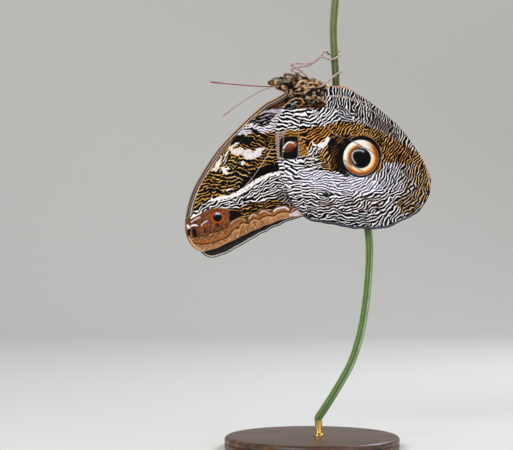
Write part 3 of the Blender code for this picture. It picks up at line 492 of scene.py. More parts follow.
FORE_STROKES = (
    ((272.5, 147, 266, 158, 258, 170, 251, 179.6, 243.5, 188), 0.8, "#8f8792"),
    ((251, 178.4, 254, 182.4, 256.5, 187), 0.6, "#a3989c"),
    ((284, 107.6, 281.6, 112, 277.6, 115.4, 271.5, 120.4), 1.2, "#c3aba2"),
    ((230.5, 224, 233, 221.6, 239, 218.6, 243, 219, 245.6, 222), 1.4, "#ae8263"),
    ((249.2, 218.4, 251.4, 215.4, 254, 214.4, 256.6, 216), 1.5, "#c4a08c"),
    ((260, 213, 262.2, 211.2, 266, 211.2, 270, 213), 1.4, "#cdb0a6"),
    ((274, 211, 276.6, 209, 281, 207.8, 285, 207.4, 288.4, 209.4), 1.7, "#d9cbd2"),
    ((292, 210.4, 294.4, 208.8, 297, 208.9), 1.4, "#c9b3ae"),
    ((195, 241.4, 203, 242.2, 213, 240.4, 226, 235.8, 230, 231), 2, "#95592a"),
    ((231, 229, 236, 225.6, 240, 221.8, 246, 222.4), 1.4, "#9a5a28"),
    ((249.6, 220.2, 254, 217, 259, 217), 1.6, "#9c5a26"),
    ((262, 215.6, 268, 214.2, 273.6, 214.2, 277, 211.4, 283, 210.2, 290, 211, 296, 208.8),
     1.2, "#a0622a"),
    ((232, 233.6, 235.6, 229.6, 238.4, 229.4), 1.2, "#c08d5e"),
    ((240.6, 226.6, 242.6, 224.2, 248, 225), 1.3, "#c2905f"),
    ((250.6, 223, 254.6, 220, 258.6, 221), 1.3, "#c08a58"),
    ((263, 219, 268.6, 217.2, 273.4, 217.6, 278, 215, 283, 213.5, 289, 213.6), 1.1, "#c29064"),
    (BORDER_INNER, 1, "#1b100a"), (BORDER_MIDDLE, 1.1, "#150d09"),
    ((243, 226, 240.6, 232, 241.6, 234.6), 0.6, "#6d4022"),
    ((249.6, 224, 247.6, 229, 249, 232), 0.6, "#6d4022"),
    ((261, 219, 262.6, 223.4, 264.4, 226.4), 0.6, "#6d4022"),
    ((246.6, 221.4, 248.6, 223.6), 1, "#1b100a"),
    ((187, 226, 189.6, 238, 195, 246, 203, 251, 212, 250.8, 226, 245, 244, 236, 262, 228,
     280, 222, 296, 216.6, 303, 215), 0.9, "#d0aa86"),
    ((191.5, 217.6, 196, 215.6, 201, 212.6), 1.2, "#efe6e6"),
    ((191.4, 222, 195, 219.6, 200, 217), 1, "#d9cfd8"),
    ((201.6, 225.4, 203.5, 223, 207, 221), 1, "#dcd3d8"),
    ((191.6, 226, 194, 225, 197, 225.6), 1.4, "#f1eeec"),
    ((187.8, 225.5, 189.4, 227.6), 1.8, "#eef0f4"), ((205, 227.6, 205.4, 232.4), 1.6, "#1d0f0a"),
    ((194.2, 231, 194.9, 234.4), 4.6, "#140d0a"), ((189, 230.4, 189.3, 234.4), 3.3, "#140e0c"),
    ((190.6, 232, 191.4, 237), 0.8, "#a8623a"), ((217.6, 222.8, 218.4, 226), 2.2, "#24120a"),
)

# Margins are scalloped below this height and behind this place, in millimetres.
SCALLOP_TOP = 102.0
SCALLOP_TIP = -44.0

# Patch of hair that covers the wings' bases, as pixels.
ROOT_HAIR = (
    287, 96, 290, 92.5, 294, 90, 300, 89, 312, 90, 320, 89, 327, 86.5, 325.5, 91, 322, 95,
    318, 100, 313, 103.5, 309, 103, 305, 100, 301, 97.5, 296, 96.5, 291, 98.5, 288, 99.5,
)

# Pale marks with ragged edges.
WHITE_MARK = (311.8, 140.6, 313.6, 143.4, 316, 144.8, 320, 144, 324, 141.6, 327, 137.4,
              329.4, 138.4,
              328, 142, 325, 146.4, 321, 148.4, 317.6, 145.8, 314, 146.6, 312.2, 144)

# Fore wing's leading edge: the strip's outline, and lines in it as depths from the edge with two colours
# each, near the body and towards the tip.
COSTAL_STRIP = (
    296, 84, 296, 96, 281, 102.5, 270, 108, 256, 116, 247, 123.6, 238, 134, 231, 142,
    226, 150, 218, 158.5, 210.5, 170, 203, 181, 198, 192, 195, 204, 190, 216, 176, 216,
    190, 160, 236, 108,
)
COSTAL_LINES = (
    (-3, 1, "#a8762e", "#6e5344"), (1, 2.1, "#0b0a0b", "#0e0b0b"), (2.1, 3, "#aaa6b0", "#75666a"),
    (3, 4.1, "#0b0a0b", "#100d0e"), (4.1, 5.1, "#7e5530", "#b9adb0"), (5.1, 6.3, "#120d0c", "#110d0d"),
)

# Eye spots: middles and radii, the glint and the lines across the large one, and the small one's parts.
LARGE_SPOT = (360.7, 158.3)
LARGE_RING = 17.6
LARGE_PUPIL = 10.2
LARGE_GLINT = (355.2, 163.6, 353, 160.6, 351.9, 157.6, 352.2, 154, 354.2, 151.6, 357, 150.6,
               360.4, 150.6, 363.4, 151.6)
LARGE_STROKES = (
    ((345.5, 137.6, 350, 140.4, 357, 144, 362, 147, 367, 149, 370, 150.6, 376, 156, 382, 160),
     0.9, "#4f4a4c"),
    ((344, 160.4, 348, 163, 352, 165.6, 359, 169.6, 365, 173.6, 371, 178), 0.9, "#55504e"),
)
SMALL_SPOT = (
    279.6, 141, 281, 138.4, 284, 137, 289, 136.6, 295, 136.4, 298, 138, 298.4, 148,
    297.6, 157, 295, 159.4, 288, 159.8, 283, 159, 280, 157, 279.2, 149,
)
SMALL_OVAL = (290.2, 147.0)
SMALL_TILT = 36.0
SMALL_STROKES = (
    ((283.4, 133, 283.2, 141, 282.8, 150, 282.2, 159), 0.7, "#7d7068"),
    ((283.4, 148.6, 285, 145.8, 287.2, 143.4, 290, 142.3, 293.4, 143.6), 1.1, "#f2efee"),
    ((282.6, 151.4, 283.8, 151.6), 1.0, "#b9b0b4"),
    ((294.2, 145.4, 295.4, 145.8), 1.1, "#8f7f78"),
    ((298.6, 137, 298.5, 147, 298.2, 158), 0.9, "#8f8a8e"),
)
TIP_SPOT = (217.5, 217.2)


def smooth(t):
    """Ease from 0 to 1 with level ends."""
    t = np.clip(t, 0.0, 1.0)
    return t * t * (3.0 - 2.0 * t)


def soft(depth, width=1.0):
    """1 inside an edge and 0 outside it, eased over a width across the edge."""
    return smooth(depth / width + 0.5)


def unit(vectors):
    """Rows of vectors, each made one long."""
    return vectors / np.maximum(np.linalg.norm(vectors, axis=1)[:, None], 1e-9)


def linear(code):
    """sRGB hex to linear red, green and blue."""
    levels = np.array([int(code[i:i + 2], 16) for i in (1, 3, 5)]) / 255.0
    return np.where(levels <= 0.04045, levels / 12.92, ((levels + 0.055) / 1.055) ** 2.4)


def between(low, high, share):
    """Colours between two hex codes, by a share at each place."""
    return linear(low) + np.asarray(share)[..., None] * (linear(high) - linear(low))


def graded(value, ranks, codes):
    """Colour of each value on a scale of hex codes that stand at the ranks."""
    tones = np.array([linear(code) for code in codes])
    return np.stack([np.interp(value, ranks, tones[:, axis]) for axis in range(3)], axis=-1)


def cover(colour, amount, tone):
    """Take colours towards a tone, in place, by an amount from 0 to 1 at each place."""
    colour += amount[..., None] * ((linear(tone) if isinstance(tone, str) else tone) - colour)


def smooth_line(landmarks, step, closed=False):
    """Catmull-Rom curve through landmarks of any width, one sample about every step."""
    marks = np.array(landmarks, float)
    if closed:
        marks = np.vstack([marks[-1], marks, marks[:2]])
    else:
        marks = np.vstack([2 * marks[0] - marks[1], marks, 2 * marks[-1] - marks[-2]])
    spans = []
    for a, b, c, d in zip(marks[:-3], marks[1:-2], marks[2:-1], marks[3:]):
        pieces = max(1, round(float(np.linalg.norm((c - b)[:3])) / step))
        t = (np.arange(pieces) / pieces)[:, None]
        spans.append((2 * b + (c - a) * t + (2 * a - 5 * b + 4 * c - d) * t ** 2
                      + (3 * b - a - 3 * c + d) * t ** 3) / 2)
    if not closed:
        spans.append(marks[-2:-1])
    return np.vstack(spans)


def near_line(x, z, line):
    """Nearest point of a polyline to every grid point: distance, place, and side (+1 left, -1 right)."""
    best = np.full(x.shape, np.inf)
    near_x, near_z, side = np.zeros(x.shape), np.zeros(x.shape), np.ones(x.shape)
    for (ax, az), (bx, bz) in zip(line[:-1], line[1:]):
        run_x, run_z = bx - ax, bz - az
        length = run_x * run_x + run_z * run_z
        if length == 0.0:
            continue
        t = np.clip(((x - ax) * run_x + (z - az) * run_z) / length, 0.0, 1.0)
        px, pz = ax + t * run_x, az + t * run_z
        away = (x - px) ** 2 + (z - pz) ** 2
        closer = away < best
        best = np.where(closer, away, best)
        near_x = np.where(closer, px, near_x)
        near_z = np.where(closer, pz, near_z)
        side = np.where(closer, np.sign(run_x * (z - az) - run_z * (x - ax)), side)
    return np.sqrt(best), near_x, near_z, side


def within(x, z, outline):
    """Even-odd test of grid points in a closed outline."""
    odd = np.zeros(x.shape, bool)
    for (ax, az), (bx, bz) in zip(outline, np.roll(outline, -1, axis=0)):
        if az != bz:
            odd ^= ((az > z) != (bz > z)) & (x < ax + (bx - ax) * (z - az) / (bz - az))
    return odd


def depth_in(x, z, outline):
    """Signed distance to a closed outline, positive inside."""
    away = near_line(x, z, np.vstack([outline, outline[:1]]))[0]
    return np.where(within(x, z, outline), away, -away)


def value_noise(places, size, seed):
    """Smooth noise from 0 to 1: hashed values at the corners of a cubic lattice, eased between them."""
    cell = np.asarray(places) / size
    low = np.floor(cell)
    part = smooth(cell - low)
    total = 0.0
    for corner in np.ndindex(2, 2, 2):
        key = (low + corner) @ np.array((12.9898, 78.233, 37.719)) + 4.1414 * seed
        weight = np.prod(np.where(corner, part, 1.0 - part), axis=-1)
        total = total + weight * ((np.sin(key) * 43758.5453) % 1.0)
    return total


def sheet_noise(x, z, size, seed):
    """As value_noise, on the plane of the wings."""
    return value_noise(np.stack([x, z, np.zeros_like(x)], axis=-1), size, seed)


def pixels(marks):
    """Drawing pixels, as points or in a row x, y, x, y, to millimetres in the plane of the right wings."""
    marks = np.reshape(np.array(marks, float), (-1, 2))
    return (marks - PIXEL_ORIGIN) * (PIXEL, -PIXEL)


def drawn(marks, step=1.0):
    """Closed smooth outline through marks given in drawing pixels."""
    return smooth_line(pixels(marks), step, closed=True)


def turned(along, across, angle, drop=0.0):
    """Wing-local distances to the wing's plane: the long axis is turned from straight down."""
    turn = radians(angle)
    x = WING_ROOT[0] + along * np.sin(turn) + across * np.cos(turn)
    z = WING_ROOT[1] - along * np.cos(turn) + across * np.sin(turn) - drop
    return x, z


def unturned(x, z, angle):
    """The reverse of turned."""
    turn, dx, dz = radians(angle), x - WING_ROOT[0], z - WING_ROOT[1]
    return dx * np.sin(turn) - dz * np.cos(turn), dx * np.cos(turn) + dz * np.sin(turn)


def in_plane(landmarks, angle, step, closed=False):
    """Wing-local landmarks as a smooth line in the plane of the right wings."""
    line = smooth_line(landmarks, step, closed)
    return np.stack(turned(line[:, 0], line[:, 1], angle), axis=1)


def abdomen_place(x, z):
    """Distance along the abdomen from its start, and above its middle line."""
    run = np.subtract(ABDOMEN_END, ABDOMEN_START)
    length = np.hypot(*run)
    dx, dz = x - ABDOMEN_START[0], z - ABDOMEN_START[1]
    return (dx * run[0] + dz * run[1]) / length, (dz * run[0] - dx * run[1]) / length


def root_flare(x, z):
    """How far the sheets spread apart where they leave the thorax."""
    away = np.hypot(x - THORAX[0][0], z - THORAX[0][2])
    return ROOT_FLARE * np.exp(-((away / ROOT_SPREAD) ** 2))


def fore_depth(x, z):
    """Distance of a fore wing's middle sheet from the mid-plane."""
    return FORE_DEPTH + root_flare(x, z)


def hind_depth(x, z):
    """As fore_depth: outside the fore wing, round the abdomen, and closing at the inner edge."""
    along, above = abdomen_place(x, z)
    outward = smooth((x - HIND_EASE[0]) / (HIND_EASE[1] - HIND_EASE[0]))
    sheet = HIND_DEPTH + (HIND_OUTER_DEPTH - HIND_DEPTH) * outward
    sheet += (GUTTER_DEPTH - sheet) * smooth(above / GUTTER_WIDTH)
    sheet += root_flare(x, z)
    fade = 1.0 - smooth((along - POCKET_FADE[0]) / (POCKET_FADE[1] - POCKET_FADE[0]))
    return sheet + np.maximum(0.0, POCKET_DEPTH - sheet) * np.exp(-((above / POCKET_SPREAD) ** 2)) * fade


def solid(name, shape, material, slot, *replaced):
    """Finished piece from a shape, riding on the frame.

    A shape has corners in millimetres, arrays of faces, point attributes as marks (one value or one
    colour a corner), and a place on the map OFBake for every corner of every face.
    """
    mesh = bpy.data.meshes.new(name)
    mesh.vertices.add(len(shape["corners"]))
    mesh.vertices.foreach_set("co", (np.asarray(shape["corners"], np.float32) * MM).ravel())
    loops = np.concatenate([part.ravel() for part in shape["faces"]])
    sizes = np.concatenate([np.full(len(part), part.shape[1]) for part in shape["faces"]])
    mesh.loops.add(len(loops))
    mesh.loops.foreach_set("vertex_index", loops.astype(np.int32))
    mesh.polygons.add(len(sizes))
    mesh.polygons.foreach_set("loop_start", np.concatenate([[0], np.cumsum(sizes)[:-1]]).astype(np.int32))
    mesh.update(calc_edges=True)
    mesh.polygons.foreach_set("use_smooth", np.ones(len(sizes), bool))
    mesh.set_sharp_from_angle(angle=radians(SHARP_ANGLE))
    for title, values in shape["marks"].items():
        values = np.asarray(values, np.float32)
        if values.ndim == 2:
            values = np.hstack([values, np.ones((len(values), 1), np.float32)])
            mesh.attributes.new(title, "FLOAT_COLOR", "POINT").data.foreach_set("color", values.ravel())
        else:
            mesh.attributes.new(title, "FLOAT", "POINT").data.foreach_set("value", values)
    mesh.uv_layers.new(name="OFBake").data.foreach_set("uv", shape["map"].astype(np.float32).ravel())
    if mesh.validate():
        raise RuntimeError(name + " has a face that Blender had to mend")
    mesh.materials.append(material)
    made = bpy.data.objects.new(name, mesh)
    bpy.context.scene.collection.objects.link(made)
    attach(made, "root")
    if replaced:
        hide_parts(*replaced)


def joined(shapes):
    """Several shapes as the parts of one."""
    first = np.cumsum([0] + [len(shape["corners"]) for shape in shapes])
    return {
        "corners": np.vstack([shape["corners"] for shape in shapes]),
        "faces": [part + start for shape, start in zip(shapes, first) for part in shape["faces"]],
        "marks": {title: np.concatenate([shape["marks"][title] for shape in shapes])
                  for title in shapes[0]["marks"]},
        "map": np.vstack([shape["map"] for shape in shapes]),
    }


def axes_along(path, guide=(0.0, 0.0, 1.0)):
    """Directions at every station of a path: ahead, side, which is square to the guide, and up."""
    ahead = unit(np.gradient(path, axis=0))
    side = unit(np.cross(ahead, np.array(guide)))
    return ahead, side, np.cross(side, ahead)


def lofted(path, half_width, half_height, segments, guide=(0.0, 0.0, 1.0), relief=None):
    """Closed tube: ring k is path[k] + cos(a) width[k] side[k] + sin(a) height[k] up[k].

    relief(distance, angle) scales each ring point, and the ends close in fans on the path's own ends.
    The marks are the distance along the path and the angle round it, and the map is that unwrap.
    """
    _, side, up = axes_along(path, guide)
    rings = len(path)
    distance = np.concatenate([[0.0], np.cumsum(np.linalg.norm(np.diff(path, axis=0), axis=1))])
    turn = np.arange(segments)
    angle = 2 * pi * turn / segments
    scale = np.ones((rings, segments)) * (relief(distance[:, None], angle[None, :]) if relief else 1.0)
    across = (np.cos(angle)[None, :] * scale * half_width[:, None])[..., None] * side[:, None, :]
    above = (np.sin(angle)[None, :] * scale * half_height[:, None])[..., None] * up[:, None, :]
    corners = np.vstack([(path[:, None, :] + across + above).reshape(-1, 3), path[:1], path[-1:]])
    ring, step = np.meshgrid(np.arange(rings - 1), turn, indexing="ij")
    ring = np.stack([ring, ring + 1, ring + 1, ring], axis=-1)
    step = np.stack([step, step, step + 1, step + 1], axis=-1)
    faces = [(ring * segments + step % segments).reshape(-1, 4)]
    maps = [np.stack([step / segments, distance[ring] / distance[-1]], axis=-1).reshape(-1, 2)]
    for end, first, order in ((0, 0, (0, 1)), (1, (rings - 1) * segments, (1, 0))):
        spokes = turn[:, None] + order
        faces.append(np.column_stack([np.full(segments, rings * segments + end), first + spokes % segments]))
        around = np.column_stack([turn + 0.5, spokes]) / segments
        level = np.tile(np.abs(end - np.array((0.0, 1e-3, 1e-3))), (segments, 1))
        maps.append(np.stack([around, level], axis=-1).reshape(-1, 2))
    marks = {
        "along": np.concatenate([np.repeat(distance, segments), distance[[0, -1]]]),
        "around": np.concatenate([np.tile(angle, rings), [0.0, 0.0]]),
    }
    return {"corners": corners, "faces": faces, "marks": marks, "map": np.vstack(maps)}


def tufts(roots, lie, normal, length, width, lift, root_map, tint):
    """Thin tapered tufts: three-sided blades that leave their roots along the lie and bend back to it.

    The middle line is root + length (t lie + (lift t (1 - t / 2)) normal), and the blade narrows as
    1 - t squared. Every tuft's map is a patch 0.003 across at its root's place.
    """
    count = len(roots)
    side = unit(np.cross(normal, lie))
    stations = np.array(TUFT_STATIONS)
    rise = lift[:, None] * stations * (1 - stations / 2)
    middle = roots[:, None, :] + length[:, None, None] * (
        stations[None, :, None] * lie[:, None, :] + rise[..., None] * normal[:, None, :])
    narrow = (1 - stations ** 2)[None, :, None] * width[:, None, None] / 2
    side, above = narrow * side[:, None, :], 0.5 * narrow * normal[:, None, :]
    rings = np.stack([middle - side, middle + side, middle + above], axis=2).reshape(count, 9, 3)
    tip = roots + length[:, None] * (lie + 0.5 * lift[:, None] * normal)
    first = 10 * np.arange(count)[:, None, None]
    quads = [[3 * k + i, 3 * k + (i + 1) % 3, 3 * k + 3 + (i + 1) % 3, 3 * k + 3 + i]
             for k in (0, 1) for i in range(3)]
    ends = [[6 + i, 6 + (i + 1) % 3, 9] for i in range(3)] + [[2, 1, 0]]
    faces = [(np.array(part)[None] + first).reshape(-1, len(part[0])) for part in (quads, ends)]
    patch = np.array([[x, y] for y in (-1.5, -0.5, 0.5) for x in (-1.0, 1.0, 0.0)] + [[0.0, 1.5]]) * 0.001
    corner_map = (root_map[:, None, :] + patch[None]).reshape(-1, 2)
    return {
        "corners": np.concatenate([rings, tip[:, None, :]], axis=1).reshape(-1, 3), "faces": faces,
        "map": corner_map[np.concatenate([part.ravel() for part in faces])],
        "marks": {"tint": np.repeat(tint, 10, axis=0),
                  "reach": np.tile(np.append(np.repeat(stations, 3), 1.0), count)},
    }


def wire(node, inputs):
    """Give each named input of a node its value, or link another node's output to it."""
    for title, value in inputs.items():
        if isinstance(value, bpy.types.NodeSocket):
            node.id_data.links.new(value, node.inputs[title])
        else:
            node.inputs[title].default_value = value


def add(tree, kind, inputs=None, out=0, stops=(), **settings):
    """Add a shader node and give back one of its outputs. Settings are the node's properties."""
    made = tree.nodes.new("ShaderNode" + kind)
    for title, value in settings.items():
        setattr(made, title, value)
    wire(made, inputs or {})
    for index, (place, code) in enumerate(stops):
        spots = made.color_ramp.elements
        spot = spots[index] if index < 2 else spots.new(place)
        spot.position = place
        spot.color = (*linear(code), 1.0)
    return made.outputs[out]


def new_material(name, roughness, **constants):
    """Material with its shader, whose constant settings sit on the shader's own sockets."""
    made = bpy.data.materials.new(name)
    made.use_nodes = True
    shader = made.node_tree.nodes["Principled BSDF"]
    named = {title.replace("_", " "): value for title, value in constants.items()}
    wire(shader, {"Roughness": roughness, **named})
    return made, made.node_tree, shader


def ripples(x, z, lay, step, seed, cell):
    """Wavy stripes that follow a lay: complex fields, one of long and one of short stripes.

    Noise is filtered to one direction, spacing and length at a time. Each place takes the mix of the
    filtered fields nearest its own lay, and the angle of that complex sum is the stripe's phase, so that
    stripes fork where the lay turns. Cells between veins read the noise at three different places.
    """
    spots = pixels([row[:2] for row in lay])
    angle = np.radians([2.0 * row[2] for row in lay])
    spacing = np.array([row[3] for row in lay]) * PIXEL * STRIPE_SCALE
    weight = ((x[..., None] - spots[:, 0]) ** 2 + (z[..., None] - spots[:, 1]) ** 2 + 0.6) ** -2.0
    weight /= weight.sum(axis=-1, keepdims=True)
    turn = np.degrees(np.arctan2(weight @ np.sin(angle), weight @ np.cos(angle))) / 2
    turn += 24.0 * (sheet_noise(x, z, 3.2, seed) - 0.5) + 12.0 * (sheet_noise(x, z, 1.5, seed + 1) - 0.5)
    gap = (weight @ spacing) * (0.86 + 0.28 * sheet_noise(x, z, 4.0, seed + 2))
    noise = np.fft.fft2(np.random.default_rng(seed).standard_normal(x.shape))
    run_x = np.fft.fftfreq(x.shape[1], step)[None, :]
    run_z = np.fft.fftfreq(x.shape[0], step)[:, None]
    tall, wide = x.shape
    shifts = ((0, 0), (tall // 3, wide // 2), (tall // 2, wide // 4))
    fields = np.zeros((2, *x.shape), complex)
    for direction in range(-60, 120, LAY_STEP):
        near = np.abs((turn - direction + 90.0) % 180.0 - 90.0)
        near = np.clip(1.0 - near / LAY_STEP, 0.0, 1.0)
        line = radians(direction)
        across = -run_x * np.sin(line) + run_z * np.cos(line)
        along = run_x * np.cos(line) + run_z * np.sin(line)
        for spread in GAP_STEPS:
            share = near * np.clip(1.0 - np.abs(np.log(gap / spread)) / np.log(GAP_RATIO), 0.0, 1.0)
            if not share.any():
                continue
            band = np.exp(-((across * spread - 1.0) / 0.24) ** 2)
            for field, stretch in zip(fields, STRIPE_LENGTHS):
                part = np.fft.ifft2(noise * band * np.exp(-((along * spread) / stretch) ** 2))
                part /= np.sqrt(np.mean(np.abs(part) ** 2))
                field += share * np.choose(cell, [np.roll(part, shift, axis=(0, 1)) for shift in shifts])
    sway = [(sheet_noise(x, z, 1.7, seed + 8 + axis) - 0.5) / step for axis in (0, 1)]
    return [shifted(field, *sway) for field in fields]


def shifted(field, columns, rows):
    """Read a grid at places moved by so many columns and rows, between its four nearest points."""
    tall, wide = field.shape
    row = np.clip(np.arange(tall)[:, None] + rows, 0, tall - 1.001)
    column = np.clip(np.arange(wide)[None, :] + columns, 0, wide - 1.001)
    low, left = row.astype(int), column.astype(int)
    up, right = row - low, column - left
    lower = field[low, left] * (1 - right) + field[low, left + 1] * right
    upper = field[low + 1, left] * (1 - right) + field[low + 1, left + 1] * right
    return lower * (1 - up) + upper * up


def zones(sheet, x, z, rows, seed):
    """Lay each zone on, with an edge that wanders, or blots of its colour where the row holds flecks."""
    wander = (sheet_noise(x, z, 1.0, seed) - 0.5) * 1.3 + (sheet_noise(x, z, 0.45, seed + 1) - 0.5) * 0.9
    for index, (edge, *row) in enumerate(rows):
        depth = depth_in(x, z, drawn(edge))
        if len(row) == 3:
            tone, size, share = row
            blot = smooth((sheet_noise(x, z, size, seed + index) - 0.75 + share * 0.5) / 0.16)
            cover(sheet["ground"], 0.85 * blot * smooth(depth / 2.0 + 0.3), tone)
            continue
        softness, ground, stripe, share, short, vein = row
        amount = soft(depth + wander * PIXEL * (0.5 + 0.7 * softness), softness * PIXEL)
        for title, tone in (("ground", ground), ("stripe", stripe), ("vein", vein)):
            cover(sheet[title], amount, tone)
        for title, value in (("share", share), ("short", short)):
            sheet[title] += amount * (value - sheet[title])


def strokes(colour, x, z, rows):
    """Draw lines over the finished ground. Returns how much of the place they cover."""
    covered = np.zeros(x.shape)
    for middle, width, tone in rows:
        away = near_line(x, z, smooth_line(pixels(middle), 0.8))[0]
        amount = soft(width * PIXEL / 2 - away, STROKE_EDGE)
        cover(colour, amount, tone)
        covered = np.maximum(covered, amount)
    return covered


def round_place(x, z, middle):
    """Distance in pixels and direction in degrees of every grid point from a middle given in pixels."""
    spot = pixels([middle])[0]
    dx, dz = (x - spot[0]) / PIXEL, (z - spot[1]) / PIXEL
    return np.hypot(dx, dz), np.degrees(np.arctan2(dz, dx))


def facing(angle, middle, spread):
    """1 in the direction of middle, easing to 0 at spread degrees to either side."""
    return smooth(1.0 - np.abs((angle - middle + 180.0) % 360.0 - 180.0) / spread)


def uninked(ink, amount, level=-1.0):
    """Stripes taken away by an amount from 0 to 1 at each place."""
    return ink + amount * (np.minimum(ink, level) - ink)


def large_eye_spot(colour, ink, x, z):
    """Ring of cream, brown inside at the left and outside at the right, and a black pupil with an arc."""
    away, angle = round_place(x, z, LARGE_SPOT)
    outer = LARGE_RING + 0.5 * np.cos(np.radians(angle - 100.0))
    halo = soft(outer + 2.6 + 2.2 * facing(angle, 75.0, 100.0) + 6.0 * facing(angle, 185.0, 45.0) - away)
    tone = np.tile(linear("#f4ece6"), (*x.shape, 1))
    cover(tone, 0.85 * facing(angle, -45.0, 130.0) * smooth((15.5 - away) / 3.0), "#f2dba2")
    side = smooth(facing(angle, -52.0, 150.0) * 2.0)
    for start, code in ((11.4, "#e8ac5e"), (13.0, "#a85410"), (14.9, "#6a3010")):
        cover(tone, side * smooth((away - start) / 2.2), code)
    side = smooth(facing(angle, 155.0, 95.0) * 1.8)
    for end, code in ((15.6, "#dca868"), (14.2, "#a05a18"), (12.8, "#7c400e")):
        cover(tone, side * smooth((end - away) / 2.2), code)
    side = smooth(facing(angle, 150.0, 100.0) * 1.6)
    cover(tone, 0.8 * (1.0 - smooth((away - 10.4) / 1.6)) * side, "#3e1d0a")
    cover(colour, soft(outer - away) * soft(away - LARGE_PUPIL), tone)
    cover(colour, np.maximum(soft(LARGE_PUPIL - away), halo * soft(away - outer)), "#0b0a0b")
    line = near_line(x, z, smooth_line(pixels(LARGE_GLINT), 0.3))[0] / PIXEL
    cover(colour, soft(0.45 - line), "#c3cbd0")
    cover(colour, 0.30 * smooth((2.2 - line) / 1.8) * smooth((8.6 - away) / 2.0), "#6f7a86")
    strokes(colour, x, z, LARGE_STROKES)
    return np.where(halo > 0.5, -1.0, ink)


def small_eye_spot(colour, ink, x, z):
    """Black oblong that holds a tilted rust oval with a white arc on it."""
    black = soft(depth_in(x, z, drawn(SMALL_SPOT, 0.8)) / PIXEL)
    cover(colour, black, "#0c0b0b")
    away, angle = round_place(x, z, SMALL_OVAL)
    lean = np.radians(angle - SMALL_TILT)
    along, across = away * np.cos(lean), away * np.sin(lean)
    oval = 1.0 - np.hypot(along / 8.0, (across + 0.25 * (along / 8.0) ** 2) / 4.5)
    rust = between("#94502a", "#4a2412", smooth(0.5 - (across + 0.4 * along) / 7.0))
    cover(colour, smooth(oval * 4.0 + 0.2), rust)
    strokes(colour, x, z, SMALL_STROKES)
    return np.where(black > 0.5, -1.0, ink)


def tip_eye_spot(colour, ink, x, z):
    """Small black spot with a blue and white arc, in an orange ring."""
    away, angle = round_place(x, z, TIP_SPOT)
    cover(colour, 0.75 * soft(7.6 - away) * facing(angle, 110.0, 80.0), "#2a160c")
    cover(colour, soft(6.0 - away), "#b24d12")
    cover(colour, soft(4.7 - away, 0.9), "#090909")
    cover(colour, 0.8 * smooth(1.0 - np.abs(away - 3.4) / 1.5) * facing(angle, 105.0, 95.0), "#3f6ea6")
    cover(colour, smooth(1.2 - np.abs(away - 3.7) / 0.9) * facing(angle, 85.0, 55.0), "#eef2f6")
    return np.where(soft(6.6 - away) > 0.5, -1.0, ink)


def hind_spots(colour, ink, x, z):
    """The hind wing's two eye spots and its ragged white mark, over the stripes."""
    mark = depth_in(x, z, drawn(WHITE_MARK, 0.5)) / PIXEL
    amount = soft(mark + 1.2 * (sheet_noise(x, z, 0.6, 3) - 0.5))
    cover(colour, amount, "#e9e6ee")
    ink = large_eye_spot(colour, uninked(ink, amount), x, z)
    return small_eye_spot(colour, ink, x, z)


def fore_spots(colour, ink, x, z):
    """The small spot near the fore wing's tip, and the lines along its leading edge."""
    ink = tip_eye_spot(colour, ink, x, z)
    edge = in_plane(FORE_OUTLINE, FORE_ANGLE, 0.6, closed=True)
    depth = depth_in(x, z, edge) / PIXEL + 0.35 * (sheet_noise(x, z, 2.0, 61) - 0.5)
    strip = soft(depth_in(x, z, drawn(COSTAL_STRIP)), 0.3)
    for low, high, near_tone, far_tone in COSTAL_LINES:
        amount = strip * soft(depth - low, 0.5) * soft(high - depth, 0.5)
        cover(colour, amount, between(near_tone, far_tone, smooth((130.0 - z) / 30.0)))
        ink = uninked(ink, amount)
    return ink


def markings(x, z, step, veins, rows, lay, lines, seed, tones, spots):
    """Ground, stripes and inked share of one wing's face, as grids of linear colours."""
    sheet = {title: np.tile(linear(code), (*x.shape, 1))
             for title, code in zip(("ground", "stripe", "vein"), tones)}
    sheet.update(share=np.full(x.shape, 0.5), short=np.full(x.shape, 0.3))
    zones(sheet, x, z, rows, seed)
    sides = [(index % 2 + 1) * (near_line(x, z, line)[3] > 0) for index, line in enumerate(veins)]
    long_field, short_field = ripples(x, z, lay, step, seed, sum(sides) % 3)
    field = (1.0 - sheet["short"]) * long_field + sheet["short"] * short_field
    wave = field.real / (np.abs(field) + 0.06)
    ink = wave - 1.25 * np.cos(pi * sheet["share"]) + 0.30 * np.sin(pi * sheet["share"])
    colour = sheet["ground"]
    mottle = 0.62 + 0.50 * sheet_noise(x, z, 0.55, seed + 5) + 0.26 * sheet_noise(x, z, 1.6, seed + 6)
    strength = smooth((colour.max(axis=-1) - colour.min(axis=-1)) / 0.25)
    mottle = 1.0 + (mottle - 1.0) * (0.35 + 0.65 * strength)
    colour *= mottle[..., None] ** np.array(MOTTLE_POWERS)
    for line in veins:
        amount = 0.60 * soft(0.12 - near_line(x, z, line)[0], 0.2)
        cover(colour, amount, sheet["vein"])
        ink = uninked(ink, amount, -0.8)
    ink = uninked(ink, strokes(colour, x, z, lines))
    return colour, sheet["stripe"], spots(colour, ink, x, z)


